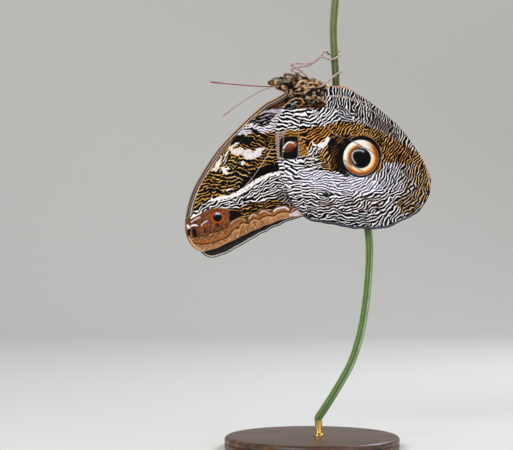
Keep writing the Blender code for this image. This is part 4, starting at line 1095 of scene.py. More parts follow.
def lattice(outline, step):
    """Square grid over an outline, cut to it: places, and triangles as grid numbers.

    Points within half a step of the outline are moved onto it, points inside keep their place, and a
    triangle is kept where none of its corners is outside and at least one is inside.
    """
    low = np.floor(outline.min(axis=0) / step - 2) * step
    high = outline.max(axis=0) + 2 * step
    x, z = np.meshgrid(np.arange(low[0], high[0], step), np.arange(low[1], high[1], step))
    away, near_x, near_z, _ = near_line(x, z, np.vstack([outline, outline[:1]]))
    on_edge = away < 0.5 * step
    inner = within(x, z, outline) & ~on_edge
    edge_x, edge_z = np.where(on_edge, near_x, x), np.where(on_edge, near_z, z)
    number = np.arange(x.size).reshape(x.shape)
    corners = (number[:-1, :-1], number[:-1, 1:], number[1:, 1:], number[1:, :-1])
    a, b, c, d = (part.ravel() for part in corners)
    inner, usable = inner.ravel(), (inner | on_edge).ravel()
    slanted = np.where(~usable[a] | ~usable[c], False, inner[a] | inner[c])
    slanted = np.where(~usable[b] | ~usable[d], True, slanted)
    first = np.where(slanted[:, None], np.stack([a, b, c], 1), np.stack([a, b, d], 1))
    second = np.where(slanted[:, None], np.stack([a, c, d], 1), np.stack([b, c, d], 1))
    triangles = np.vstack([first, second])
    kept = usable[triangles].all(axis=1) & inner[triangles].any(axis=1)
    return x, z, edge_x.ravel(), edge_z.ravel(), triangles[kept]


def scalloped(edge, settings):
    """Move the outer margin in and out by a small sine of the distance along it."""
    ahead = unit(np.roll(edge, -1, axis=0) - np.roll(edge, 1, axis=0))
    run = np.cumsum(np.linalg.norm(edge - np.roll(edge, 1, axis=0), axis=1))
    low_down = smooth((SCALLOP_TOP - edge[:, 1]) / 6.0) * smooth((edge[:, 0] - SCALLOP_TIP) / 4.0)
    wave = np.sin(2 * pi * run / settings.scallop_spacing + 1.4 * np.sin(0.17 * run))
    move = settings.scallop * low_down * wave * (0.65 + 0.35 * np.sin(0.23 * run))
    return edge + move[:, None] * np.stack([-ahead[:, 1], ahead[:, 0]], axis=1)


def wing_face(outline, vein_marks, angle, fringe_tone, settings, **drawing):
    """Grid, markings and vein ridges that a left and a right wing share."""
    edge = scalloped(in_plane(outline, angle, 0.6, closed=True), settings)
    x, z, edge_x, edge_z, triangles = lattice(edge, settings.wing_step)
    veins = [in_plane(marks, angle, 1.2) for marks in vein_marks.values()]
    colour, stripe, ink = markings(x, z, settings.wing_step, veins, **drawing)
    away = np.min([near_line(x, z, line)[0] for line in veins], axis=0)
    rim = near_line(x, z, np.vstack([edge, edge[:1]]))[0]
    inner = np.tile(linear("#2b2826"), (*x.shape, 1)) * (0.75 + 0.5 * sheet_noise(x, z, 0.8, 11))[..., None]
    root = np.hypot(x - WING_ROOT[0], z - WING_ROOT[1])
    cover(inner, 0.55 * smooth((46.0 - root) / 30.0), "#2c3b52")
    cover(inner, soft(0.16 - np.abs(rim - 0.58), 0.16), fringe_tone)
    inner *= (1.0 - 0.6 * soft(0.32 - rim, 0.16))[..., None]
    cover(colour, 0.25 * soft(0.18 - rim, 0.2), "#b7ada2")
    used, compact = np.unique(triangles, return_inverse=True)
    ridge = np.exp(-((away / 0.28) ** 2))
    flat = [part.reshape(x.size, -1)[used] for part in (colour, stripe, inner, ink, ridge)]
    return (edge_x[used], edge_z[used], (x.min(), z.min()), max(np.ptp(x), np.ptp(z)),
            compact.reshape(-1, 3), *flat)


def wing_piece(face, side, drawn_angle, angle, drop, depth, settings):
    """Thin closed shell: the marked face outside, the plain dark face inside, and a rim between them.

    Both faces keep half the thickness from the wing's middle sheet, and veins stand up from them as ridges.
    """
    drawn_x, drawn_z, low, spread, triangles, ground, stripe, inner, ink, ridge = face
    along, across = unturned(drawn_x, drawn_z, drawn_angle)
    x, z = turned(along, across, angle, drop)
    half = settings.wing_thickness / 2 + settings.vein_rise * ridge[:, 0]
    fold = settings.wing_fold * np.sin(across * 2 * pi / settings.fold_spacing)
    fold = fold * smooth((along - 12.0) / 20.0)
    middle, sign = depth(x, z) + fold, SIDES[side]
    count = len(x)
    pairs = np.vstack([triangles[:, [0, 1]], triangles[:, [1, 2]], triangles[:, [2, 0]]])
    _, where, times = np.unique(np.sort(pairs, axis=1) @ np.array((count, 1)), return_index=True,
                                return_counts=True)
    rim = pairs[where[times == 1]]
    faces = [triangles, triangles[:, ::-1] + count,
             np.stack([rim[:, 1], rim[:, 0], rim[:, 0] + count, rim[:, 1] + count], axis=1)]
    if side == "left":
        faces = [part[:, ::-1] for part in faces]
    flat = np.stack([drawn_x - low[0], drawn_z - low[1]], axis=1) / spread * 0.49
    flat = np.vstack([flat + 0.005, flat + (0.505, 0.005)])
    marks = {
        "ground": np.vstack([ground, inner]), "stripe": np.vstack([stripe, inner]),
        "ink": np.concatenate([ink[:, 0], np.full(count, -1.0)]), "dorsal": np.repeat((0.0, 1.0), count),
    }
    shell = np.vstack([np.stack([x, sign * (middle + out * half), z], axis=1) for out in (1.0, -1.0)])
    return {"corners": shell, "faces": faces, "marks": marks,
            "map": flat[np.concatenate([part.ravel() for part in faces])]}


def wing_scales():
    """Matt overlapping wing scales: tiny rows break the edges of every marking and catch light unevenly."""
    made, tree, shader = new_material("Wing scales", 0.72, Specular_IOR_Level=0.06)
    place = add(tree, "TexCoord", out="Object")
    ground, stripe, ink, dorsal = (add(tree, "Attribute", out=out, attribute_name=name) for name, out in (
        ("ground", "Color"), ("stripe", "Color"), ("ink", "Fac"), ("dorsal", "Fac")))
    # Scales are 0.1 mm wide, and are drawn at 0.16 mm so that they show.
    scale = add(tree, "TexVoronoi", {"Vector": place, "Scale": 1.0 / (0.16 * MM)}, feature="F1")
    tone = scale.node.outputs["Color"]
    cloud = add(tree, "TexNoise", {"Vector": place, "Scale": 1.0 / (0.9 * MM), "Detail": 4.0})
    jitter = add(tree, "Math", {0: tone, 1: 0.5}, operation="SUBTRACT")
    jitter = add(tree, "Math", {0: jitter, 1: 0.35, 2: ink}, operation="MULTIPLY_ADD")
    inked = add(tree, "MapRange", {"Value": jitter, "From Min": -0.12, "From Max": 0.12})
    mixed = add(tree, "Mix", {0: inked, 6: ground, 7: stripe}, 2, data_type="RGBA")
    shade = add(tree, "MapRange", {"Value": cloud, "From Min": 0.3, "From Max": 0.7,
                                   "To Min": 0.86, "To Max": 1.10})
    grain = add(tree, "MapRange", {"Value": tone, "To Min": 0.86, "To Max": 1.12})
    shade = add(tree, "Math", {0: shade, 1: grain}, operation="MULTIPLY")
    wire(shader, {
        "Base Color": add(tree, "VectorMath", {0: mixed, "Scale": shade}, operation="SCALE"),
        "Roughness": add(tree, "MapRange", {"Value": dorsal, "To Min": 0.74, "To Max": 0.40}),
        "Normal": add(tree, "Bump", {"Height": scale, "Strength": 0.35, "Distance": 0.05 * MM}),
    })
    return made


def form_girth(path, middle, half, tilt, profile):
    """Half width and height that one body form has at every station of the spine."""
    lean = radians(tilt)
    along = ((path[:, 0] - middle[0]) * np.cos(lean) - (path[:, 2] - middle[2]) * np.sin(lean)) / half[0]
    girth = profile(np.clip(along, -1.0, 1.0))
    return half[1] * girth, half[2] * girth


def full_girth(t):
    """Oval with fuller ends, as a thorax has."""
    return np.sqrt(np.maximum(0.0, 1.0 - np.abs(t) ** 2.5))


def round_girth(t):
    """Plain ellipse."""
    return np.sqrt(np.maximum(0.0, 1.0 - t * t))


def ringed_girth(t):
    """Abdomen: widest before the middle, tapered to its tip, with shallow ring grooves."""
    ends = np.sqrt(np.maximum(0.0, 1.0 - np.abs(t) ** 3.0))
    taper = 1.0 - 0.10 * (t + 0.2) ** 2 - 0.12 * np.maximum(0.0, t)
    return ends * taper * (1.0 - 0.03 * (0.5 + 0.5 * np.cos(pi * ABDOMEN_RINGS * (t + 1.0))))


class Skin:
    """Surface of head, thorax and abdomen as one: ellipses carried along the spine.

    Each half size is the fourth root of the sum of the three forms' fourth powers, less the coat's depth.
    """

    def __init__(self, settings):
        line = smooth_line([(x, 0.0, z) for x, z in SPINE], 0.2)
        reach = np.concatenate([[0.0], np.cumsum(np.linalg.norm(np.diff(line, axis=0), axis=1))])
        even = reach[-1] * (1.0 - np.cos(pi * np.arange(SPINE_RINGS) / (SPINE_RINGS - 1))) / 2
        self.path = np.stack([np.interp(even, reach, line[:, axis]) for axis in range(3)], axis=1)
        self.distance = even
        _, self.side, self.up = axes_along(self.path)
        run, middle = np.subtract(ABDOMEN_END, ABDOMEN_START), np.add(ABDOMEN_END, ABDOMEN_START) / 2
        half = (np.hypot(*run) / 2, *ABDOMEN_HALF)
        forms = ((*THORAX, full_girth), (*HEAD, round_girth),
                 ((middle[0], 0.0, middle[1]), half, -np.degrees(np.arctan2(run[1], run[0])), ringed_girth))
        sizes = [form_girth(self.path, *form) for form in forms]
        x = self.path[:, 0]
        on_thorax = smooth((x + 11.0) / 2.5) * smooth((7.5 - x) / 4.0)
        coat = settings.short_coat + (settings.thorax_coat - settings.short_coat) * on_thorax
        ends = smooth(np.minimum(even, even[-1] - even) / 1.2) ** 0.5
        self.width, self.height = (
            np.maximum(sum(size[axis] ** 4 for size in sizes) ** 0.25 - coat, 0.12) * ends for axis in (0, 1))

    def place(self, reach, angle):
        """Points of the surface at distances along the spine and angles round it."""
        def pick(values):
            """Values of the spine's stations, read at the distances."""
            return np.interp(reach, self.distance, values)
        path, side, up = (np.stack([pick(part[:, axis]) for axis in range(3)], axis=-1)
                          for part in (self.path, self.side, self.up))
        across = (pick(self.width) * np.cos(angle))[..., None]
        above = (pick(self.height) * np.sin(angle))[..., None]
        return path + across * side + above * up

    def frame(self, reach, angle):
        """Point, outward normal and backward direction of the surface."""
        back = unit(self.place(reach + 0.05, angle) - self.place(reach - 0.05, angle))
        round_it = self.place(reach, angle + 0.01) - self.place(reach, angle - 0.01)
        return self.place(reach, angle), unit(np.cross(back, round_it)), back

    def scatter(self, start, end, count, rng):
        """Random places between two x positions, evenly over the surface."""
        density = np.gradient(self.distance) * (self.width + self.height) + 1e-4
        density *= (self.path[:, 0] >= start) & (self.path[:, 0] <= end)
        total = np.cumsum(density)
        reach = np.interp(rng.random(count) * total[-1], total, self.distance)
        return reach, rng.random(count) * 2 * pi


def body_tint(places, rng=None):
    """Mottled coat: blue-black, brown, orange and cream, in streaks that rise backwards at COAT_SLANT."""
    slant = radians(COAT_SLANT)
    x, y, z = places.T
    streak = np.stack([(x * np.cos(slant) + z * np.sin(slant)) * 0.42, y,
                       z * np.cos(slant) - x * np.sin(slant)], 1)
    tone = value_noise(streak, 0.42, 21) * 0.72 + value_noise(streak, 0.22, 22) * 0.28
    if rng is not None:
        tone = tone + rng.normal(0.0, 0.010, len(tone))
    return graded(tone, *COAT_TONES) * (1.0 - 0.55 * smooth((COAT_SHADE - z) / 3.0))[:, None]


def abdomen_tint(places, rng=None):
    """Abdomen: brown above, paler grey-tan below, with fine pale rings."""
    along, above = abdomen_place(places[:, 0], places[:, 2])
    grain = 0.7 + 0.6 * value_noise(places, 0.6, 31)
    if rng is not None:
        grain = grain + rng.normal(0.0, 0.10, len(grain))
    tint = between("#4a3423", "#a48a70", soft(above, 4.0)) * np.clip(grain, 0.3, 1.6)[:, None]
    cover(tint, 0.35 * smooth(np.cos(2 * pi * along / ABDOMEN_BAND) * 2.0 - 1.0), "#c8b49a")
    return tint


def coat_tint(places, rng=None):
    """The body's markings, shared by the skin and the tufts."""
    tint = body_tint(places, rng)
    cover(tint, smooth((places[:, 0] - 5.5) / 3.0), abdomen_tint(places, rng))
    return tint


def palp_tint(places, rng=None):
    """Palps: streaks of silver-grey above, orange tan along the middle, and cream specks on black below."""
    marks = np.array(PALP)[::-1]
    above = (places[:, 2] - np.interp(places[:, 0], marks[:, 0], marks[:, 2])) / 0.9
    tone = value_noise(places * np.array((0.45, 1.0, 1.0)), 0.45, 47)
    if rng is not None:
        tone = tone + rng.normal(0.0, 0.04, len(tone))
        above = above + rng.normal(0.0, 0.12, len(tone))
    tint, middle, high = (graded(tone, PALP_RANKS, codes) for codes in PALP_TONES)
    cover(tint, smooth((above + 0.75) / 0.5), middle)
    cover(tint, smooth((above - 0.10) / 0.5), high)
    return tint


def fur(name, gloss):
    """Fine scaly hair: tinted tuft by tuft, darkened towards the root as painted shade deep in the coat, with a
    soft sheen along its back.
    """
    made, tree, shader = new_material(name, 0.62, Sheen_Weight=0.05, Sheen_Roughness=0.4,
                                      Specular_IOR_Level=gloss)
    tint = add(tree, "Attribute", out="Color", attribute_name="tint")
    reach = add(tree, "Attribute", out="Fac", attribute_name="reach")
    place = add(tree, "TexCoord", out="Object")
    streak = add(tree, "TexNoise", {"Vector": place, "Scale": 1.0 / (0.35 * MM), "Detail": 3.0})
    # Painted shade deep in the coat: each tuft darkens towards its root.
    shade = add(tree, "MapRange", {"Value": reach, "To Min": 0.40, "To Max": 1.18})
    vary = add(tree, "MapRange", {"Value": streak, "From Min": 0.3, "From Max": 0.7,
                                  "To Min": 0.80, "To Max": 1.16})
    shade = add(tree, "Math", {0: shade, 1: vary}, operation="MULTIPLY")
    fine = add(tree, "TexNoise", {"Vector": place, "Scale": 1.0 / (0.08 * MM), "Detail": 2.0})
    wire(shader, {
        "Base Color": add(tree, "VectorMath", {0: tint, "Scale": shade}, operation="SCALE"),
        "Normal": add(tree, "Bump", {"Height": fine, "Strength": 0.4, "Distance": 0.04 * MM}),
    })
    return made


def coat_patch(skin, start, end, count, length, width, lift, wander, rise, rng):
    """Tufts between two x positions of the skin, lying back along the body and rising by a share of that."""
    reach, angle = skin.scatter(start, end, count, rng)
    point, normal, back = skin.frame(reach, angle)
    back = unit(back + rise * (np.array((0.0, 0.0, 1.0)) - normal[:, 2:] * normal))
    side = np.cross(normal, back)
    yaw = rng.normal(0.0, wander, count)[:, None]
    size = length * rng.uniform(0.65, 1.25, count)
    root_map = np.stack([angle / (2 * pi), reach / skin.distance[-1]], axis=1)
    return tufts(point - 0.1 * normal, back * np.cos(yaw) + side * np.sin(yaw), normal, size,
                 width * rng.uniform(0.7, 1.2, count), lift * rng.uniform(0.4, 1.5, count), root_map,
                 coat_tint(point, rng))


def root_coat(sign, count, rng):
    """Hair over the bases of one side's wings, which runs down and back from the body."""
    edge = pixels(ROOT_HAIR)
    low, high = edge.min(axis=0), edge.max(axis=0)
    spot = low + rng.random((count * 2, 2)) * (high - low)
    x, z = spot[within(spot[:, 0], spot[:, 1], edge)].T
    on_hind = within(x, z, in_plane(HIND_OUTLINE, HIND_ANGLE, 1.0, closed=True))
    root = np.stack([x, sign * (np.where(on_hind, hind_depth(x, z), fore_depth(x, z)) + 0.05), z], axis=1)
    count = len(root)
    normal = np.tile((0.0, sign, 0.0), (count, 1))
    low_down = smooth((COAT_SHADE - z) / 3.0)
    run = unit(np.stack([np.full(count, 0.85), np.zeros(count), 0.53 - 1.1 * low_down], axis=1))
    side = np.cross(normal, run)
    yaw = rng.normal(0.0, 0.16, count)[:, None]
    tint = body_tint(root, rng)
    return tufts(root, run * np.cos(yaw) + side * np.sin(yaw), normal, rng.uniform(0.7, 1.4, count),
                 rng.uniform(0.16, 0.28, count), rng.uniform(0.2, 0.6, count),
                 (spot[:count] - low) / (high - low), tint)


def eye_lens():
    """Compound eye: glossy olive-brown dome over tiny facets, with darker clouds inside.

    Facets are 0.03 mm wide, and are drawn at 0.12 mm so that they show.
    """
    made, tree, shader = new_material("Compound eye", 0.22, Coat_Weight=0.5, Coat_Roughness=0.12,
                                      Specular_IOR_Level=0.6)
    place = add(tree, "TexCoord", out="Object")
    cloud = add(tree, "TexNoise", {"Vector": place, "Scale": 1.0 / (1.1 * MM), "Detail": 3.0})
    facet = add(tree, "TexVoronoi", {"Vector": place, "Scale": 1.0 / (0.12 * MM)}, feature="F1")
    wire(shader, {
        "Base Color": add(tree, "ValToRGB", {"Fac": cloud}, stops=(
            (0.34, "#221d14"), (0.62, "#6d6548"), (0.50, "#4a4531"), (0.72, "#8d8662"))),
        "Normal": add(tree, "Bump", {"Height": facet, "Strength": 0.5, "Distance": 0.04 * MM}, invert=True),
    })
    return made


def feeler_skin(name, tone, band):
    """Smooth horny feeler of short joints: a dark line at each joint, and a fine down between."""
    made, tree, shader = new_material(name, 0.42, Sheen_Weight=0.2, Specular_IOR_Level=0.45)
    along = add(tree, "Attribute", out="Fac", attribute_name="along")
    wave = add(tree, "Math", {0: along, 1: 2 * pi / FEELER_JOINT}, operation="MULTIPLY")
    wave = add(tree, "Math", {0: wave}, operation="COSINE")
    ring = add(tree, "MapRange", {"Value": wave, "From Min": 0.55, "From Max": 0.95})
    place = add(tree, "TexCoord", out="Object")
    down = add(tree, "TexNoise", {"Vector": place, "Scale": 1.0 / (0.1 * MM)})
    wire(shader, {
        "Base Color": add(tree, "Mix", {0: ring, 6: (*linear(tone), 1.0), 7: (*linear(band), 1.0)}, 2,
                          data_type="RGBA"),
        "Normal": add(tree, "Bump", {"Height": down, "Strength": 0.3, "Distance": 0.03 * MM}),
    })
    return made


def leg_skin():
    """Scaled leg: pinkish beige with paler dust on it and darker joints, with painted light on its upper side
    and painted shade below.
    """
    made, tree, shader = new_material("Leg scales", 0.5, Sheen_Weight=0.25, Specular_IOR_Level=0.4)
    place = add(tree, "TexCoord", out="Object")
    tint = add(tree, "Attribute", out="Color", attribute_name="tint")
    dust = add(tree, "TexNoise", {"Vector": place, "Scale": 1.0 / (0.25 * MM), "Detail": 4.0})
    share = add(tree, "MapRange", {"Value": dust, "From Min": 0.35, "From Max": 0.65,
                                   "To Min": 0.70, "To Max": 1.20})
    wire(shader, {
        "Base Color": add(tree, "VectorMath", {0: tint, "Scale": share}, operation="SCALE"),
        "Normal": add(tree, "Bump", {"Height": dust, "Strength": 0.5, "Distance": 0.05 * MM}),
    })
    return made


def on_tube(path, radius, flatten, pick, angle):
    """Root, lie, normal and place on the map of a tuft at each picked station and angle of a tube."""
    ahead, side, up = axes_along(path)
    cosine, sine = np.cos(angle)[:, None], np.sin(angle)[:, None]
    root = path[pick] + (flatten * cosine * side[pick] + sine * up[pick]) * radius[pick, None]
    lie = side[pick] * cosine + up[pick] * sine
    return (root, ahead[pick], lie), np.stack([angle / (2 * pi), pick / len(path)], 1)


def limb(landmarks, settings, rng, toes):
    """One leg: a jointed tube with swellings at its joints, small spines all round it, and two claws at its end
    on all but the fore legs.
    """
    line = smooth_line(landmarks, 0.12)
    path, radius = line[:, :3], line[:, 3] * settings.limb_girth
    joints = np.array([mark[:3] for mark in landmarks[1:-1]])
    near = np.min(np.linalg.norm(path[:, None, :] - joints[None], axis=2), axis=1)
    radius = radius * (0.92 + 0.20 * np.exp(-((near / 0.28) ** 2)))
    if toes:
        radius = radius * (1.0 + 0.35 * smooth(np.linspace(-2.4, 1.6, len(radius))))
    tube = lofted(path, radius, radius, LIMB_SIDES)
    level = np.concatenate([np.repeat(path[:, 2], LIMB_SIDES), path[[0, -1], 2]])
    # Painted light and shade: corners above the leg's middle line take the paler tone, and those below take the
    # darker one.
    tone = between(*(LEG_SHADED_AND_LIT_TONES if toes else FORE_LEG_SHADED_AND_LIT_TONES), soft(tube["corners"][:, 2] - level, 0.5))
    joint = np.concatenate([np.repeat(np.exp(-((near / 0.22) ** 2)), LIMB_SIDES), [0.0, 0.0]])
    cover(tone, 0.6 * joint, "#5a3a2e")
    tube["marks"] = {"tint": tone, "reach": np.ones(len(tone))}
    count = int(len(path) * settings.spines_per_station)
    pick = rng.integers(3, len(path) - 3, count)
    places, spine_map = on_tube(path, radius * 0.8, 1.0, pick, rng.random(count) * 2 * pi)
    tone = np.tile(linear("#d6bfb2"), (count, 1)) * rng.uniform(0.5, 1.1, count)[:, None]
    shapes = [tube, tufts(*places, rng.uniform(0.35, 0.7, count), np.full(count, 0.10),
                          rng.uniform(0.5, 1.1, count), spine_map, tone)]
    _, side, up = axes_along(path)
    heading = unit(path[-1:] - path[-4:-3])[0]
    for turn in (-1.0, 1.0) if toes else ():
        hook = smooth_line([path[-1] + heading * reach + side[-1] * turn * spread - up[-1] * drop
                            for reach, spread, drop in CLAW], 0.06)
        thin = np.linspace(0.10, 0.02, len(hook))
        claw = lofted(hook, thin, thin, 6)
        count = len(claw["corners"])
        claw["marks"] = {"tint": np.tile(linear("#3a2018"), (count, 1)), "reach": np.ones(count)}
        shapes.append(claw)
    return joined(shapes)


def palp(sign, settings, rng):
    """One palp: a flattened tapering tube under scales that lie towards its tip."""
    line = smooth_line([(x, y * sign, z, r) for x, y, z, r in PALP], 0.12)
    station = np.arange(len(line))
    ends = smooth(np.minimum(station, station[::-1]) / 5.0) ** 0.5 + 0.02
    path, radius = line[:, :3], line[:, 3] * settings.palp_girth * ends
    core = lofted(path, radius * PALP_FLATNESS, radius, 20)
    tone = palp_tint(core["corners"])
    # The core under the scales is darkened as painted shade.
    core["marks"] = {"tint": tone * 0.6, "reach": np.full(len(tone), 0.3)}
    count = settings.palp_tufts
    pick = rng.integers(1, len(line) - 2, count)
    places, root_map = on_tube(path, radius * 0.9, PALP_FLATNESS, pick, rng.random(count) * 2 * pi)
    scales = tufts(*places, rng.uniform(0.6, 1.15, count), rng.uniform(0.16, 0.28, count),
                   rng.uniform(0.2, 0.7, count), root_map, palp_tint(places[0], rng))
    return joined([core, scales])


def feeler(landmarks):
    """One feeler: a thin ringed tube with a slight club at its end."""
    line = smooth_line(landmarks, 0.1)[:, :3]
    distance = np.concatenate([[0.0], np.cumsum(np.linalg.norm(np.diff(line, axis=0), axis=1))])
    left = distance[-1] - distance
    radius = (0.22 + 0.10 * smooth((7.0 - left) / 4.0)) * (0.15 + 0.85 * smooth(left / 1.6) ** 0.5)
    return lofted(line, radius, radius, LIMB_SIDES, relief=lambda run, turn: (
        1.0 - 0.12 * smooth(np.cos(2 * pi * run / FEELER_JOINT) * 2.0 - 1.0)))


def stem_tint(z, turn, rib):
    """Green deep in the middle, with paler, yellower edges that are painted rim light, olive higher up, a
    painted shadow where it passes the butterfly, and one pale streak that is a painted highlight.

    The turn is 0 at the left edge, -90 degrees at the front and 180 degrees at the right edge.
    """
    turn = np.degrees(turn)
    high = smooth((z - 105.0) / 45.0)
    tint = between("#456327", "#595e2e", high)
    # Both edges are lightened as painted rim light, the left one more.
    cover(tint, np.maximum(facing(turn, 0.0, 55.0), 0.6 * facing(turn, 180.0, 50.0)),
          between("#93ab55", "#83864a", high))
    # Painted shadow: darker round 151 mm, where the stem passes the butterfly.
    tint *= (1.0 - 0.35 * np.exp(-(((z - 151.0) / 6.0) ** 2)))[:, None]
    cover(tint, 0.35 * rib, "#9db56a")
    # Painted highlight: one pale streak near the front of the stem.
    painted_highlight = facing(turn, -125.0 + 35.0 * high, 22.0) * smooth(1.3 - np.abs(z - 48.0) / 34.0 + 1.4 * high)
    cover(tint, 0.75 * painted_highlight, "#aebfae")
    return tint


def stem_skin():
    """Fresh herb stem: green under a thin wax, paler along its ribs, with painted rim light at its edges, a
    painted highlight down one side, a painted shadow by the butterfly, and fine lengthwise streaks.

    Its cut ends show pale pith inside a green rim.
    """
    made, tree, shader = new_material("Herb stem", 0.46, Coat_Weight=0.12, Coat_Roughness=0.35,
                                      Specular_IOR_Level=0.4, Subsurface_Weight=0.12,
                                      Subsurface_Scale=0.6 * MM)
    along, around, cut = (add(tree, "Attribute", out="Fac", attribute_name=name)
                          for name in ("along", "streak", "cut"))
    tint = add(tree, "Attribute", out="Color", attribute_name="tint")
    slow = add(tree, "Math", {0: along, 1: 0.06}, operation="MULTIPLY")
    place = add(tree, "CombineXYZ", {"X": around, "Y": slow})
    streak = add(tree, "TexNoise", {"Vector": place, "Scale": 3.0, "Detail": 4.0})
    shade = add(tree, "MapRange", {"Value": streak, "From Min": 0.3, "From Max": 0.7,
                                   "To Min": 0.66, "To Max": 1.34})
    body = add(tree, "VectorMath", {0: tint, "Scale": shade}, operation="SCALE")
    pith = add(tree, "MapRange", {"Value": cut, "From Min": 0.12, "From Max": 0.3})
    wire(shader, {
        "Base Color": add(tree, "Mix", {0: pith, 6: body, 7: (*linear("#dfe0b8"), 1.0)}, 2, data_type="RGBA"),
        "Normal": add(tree, "Bump", {"Height": streak, "Strength": 0.35, "Distance": 0.12 * MM}),
    })
    return made


def walnut(settings):
    """Oiled walnut turned on a lathe: dark straight grain with pores, and a low satin shine."""
    made, tree, shader = new_material("Oiled walnut", 0.42, Coat_Weight=0.18, Coat_Roughness=0.3)
    place = add(tree, "TexCoord", out="Object")
    grain, pore = (add(tree, "TexNoise", {
        "Vector": add(tree, "Mapping", {"Vector": place, "Scale": (1.0, squeeze, squeeze),
                                        "Rotation": (0.1, 0.15, 0.5)}),
        "Scale": 1.0 / (size * MM), "Detail": detail, "Distortion": bend,
    }) for squeeze, size, detail, bend in ((7.0, 22.0, 8.0, 0.6), (14.0, 3.0, 3.0, 0.0)))
    tone = add(tree, "ValToRGB", {"Fac": grain},
               stops=((0.30, "#2a190f"), (0.70, "#7a4f30"), (0.52, "#51321d")))
    dark = add(tree, "MapRange", {"Value": pore, "From Min": 0.58, "From Max": 0.68, "To Max": 0.75})
    wire(shader, {
        "Base Color": add(tree, "Mix", {0: dark, 6: tone, 7: (*settings.pore_colour, 1.0)}, 2,
                          data_type="RGBA"),
        "Normal": add(tree, "Bump", {"Height": dark, "Strength": 0.3, "Distance": 0.1 * MM}, invert=True),
    })
    return made


def brass():
    """Turned brass with a satin finish: fine rings round the rod, warm and slightly uneven."""
    made, tree, shader = new_material("Satin brass", 0.3, Metallic=1.0)
    place = add(tree, "TexCoord", out="Object")
    flat = add(tree, "Mapping", {"Vector": place, "Scale": (0.02, 0.02, 1.0)})
    rings = add(tree, "TexNoise", {"Vector": flat, "Scale": 1.0 / (0.12 * MM), "Detail": 2.0})
    cloud = add(tree, "TexNoise", {"Vector": place, "Scale": 1.0 / (1.5 * MM), "Detail": 3.0})
    wire(shader, {
        "Base Color": add(tree, "ValToRGB", {"Fac": cloud}, stops=((0.3, "#b48a3e"), (0.7, "#d6b165"))),
        "Roughness": add(tree, "MapRange", {"Value": cloud, "To Min": 0.22, "To Max": 0.42}),
        "Normal": add(tree, "Bump", {"Height": rings, "Strength": 0.25, "Distance": 0.02 * MM}),
    })
    return made


def paper():
    """Matt backdrop paper with a faint tooth."""
    made, tree, shader = new_material("Backdrop paper", 0.9, Specular_IOR_Level=0.2)
    place = add(tree, "TexCoord", out="Object")
    tooth = add(tree, "TexNoise", {"Vector": place, "Scale": 1.0 / (1.5 * MM)})
    tone = add(tree, "MapRange", {"Value": tooth, "To Min": 0.97, "To Max": 1.03})
    tinted = add(tree, "VectorMath", {0: tuple(linear("#e6e4e0")), "Scale": tone}, operation="SCALE")
    wire(shader, {"Base Color": tinted})
    return made


def turned_piece(profile, x, y, segments):
    """Lathe-turned body from (height, radius) landmarks on the vertical through (x, y)."""
    height, radius = np.array(profile).T
    path = np.stack([np.full(len(height), x), np.full(len(height), y), height], axis=1)
    return lofted(path, radius, radius, segments, guide=(1.0, 0.0, 0.0))


# What every length on the panel has in common.
LENGTH = {"unit": "LENGTH", "precision": 6, "min": 0.01 * MM}


class WingSettings(bpy.types.PropertyGroup):
    """Sizes of the wings."""

    wing_thickness: FloatProperty(name="Thickness", description="Wing between its veins", default=0.24 * MM,
                                  **LENGTH)
    wing_step: FloatProperty(name="Step", description="Spacing of the wing's grid", default=0.232 * MM,
                             **LENGTH)
    vein_rise: FloatProperty(name="Vein height", description="How far veins stand up", default=0.10 * MM,
                             **LENGTH)
    wing_fold: FloatProperty(name="Fold", description="Depth of the soft folds along the wing",
                             default=0.10 * MM, **LENGTH)
    fold_spacing: FloatProperty(name="Fold spacing", description="Distance between folds", default=9.0 * MM,
                                **LENGTH)
    scallop: FloatProperty(name="Scallop", description="Depth of the outer margin's waves",
                           default=0.18 * MM, **LENGTH)
    scallop_spacing: FloatProperty(name="Scallop spacing", description="Length of a wave", default=6.4 * MM,
                                   **LENGTH)


class BodySettings(bpy.types.PropertyGroup):
    """Coat and limbs."""

    thorax_coat: FloatProperty(name="Thorax coat", description="Depth of the long coat", default=0.85 * MM,
                               **LENGTH)
    short_coat: FloatProperty(name="Short coat", description="Depth of the coat elsewhere",
                              default=0.35 * MM, **LENGTH)
    thorax_tufts: IntProperty(name="Thorax tufts", description="Tufts on the thorax", default=11800,
                              max=12000)
    abdomen_tufts: IntProperty(name="Abdomen tufts", description="Tufts on the abdomen", default=9000,
                               max=12000)
    head_tufts: IntProperty(name="Head tufts", description="Tufts on the head", default=4200, max=12000)
    palp_tufts: IntProperty(name="Palp tufts", description="Tufts on each palp", default=1800, max=6000)
    neck_tufts: IntProperty(name="Neck tufts", description="Long tufts that fill the neck", default=2200,
                            max=6000)
    root_tufts: IntProperty(name="Root tufts", description="Tufts on each side's wing bases", default=2600,
                            max=6000)
    limb_girth: FloatProperty(name="Limb girth", description="Share of the tables' leg radius",
                              default=1.18, min=0.5)
    palp_girth: FloatProperty(name="Palp girth", description="Share of the table's palp radius",
                              default=1.0, min=0.5)
    spines_per_station: FloatProperty(name="Spines", description="Spines at each station of a leg", default=1.6,
                                      min=0.1)


class StandSettings(bpy.types.PropertyGroup):
    """Stem and stand."""

    stem_radius: FloatProperty(name="Stem radius", description="Radius of the stem", default=1.6 * MM,
                               **LENGTH)
    stem_ribs: IntProperty(name="Ribs", description="Ribs round the stem", default=6, min=3)
    rib_height: FloatProperty(name="Rib height", description="Share of the radius that ribs add",
                              default=0.05, min=0.0, max=0.5, subtype="FACTOR")
    pore_colour: FloatVectorProperty(name="Pores", description="Colour of the wood's pores", subtype="COLOR",
                                     default=tuple(linear("#1c100a")))


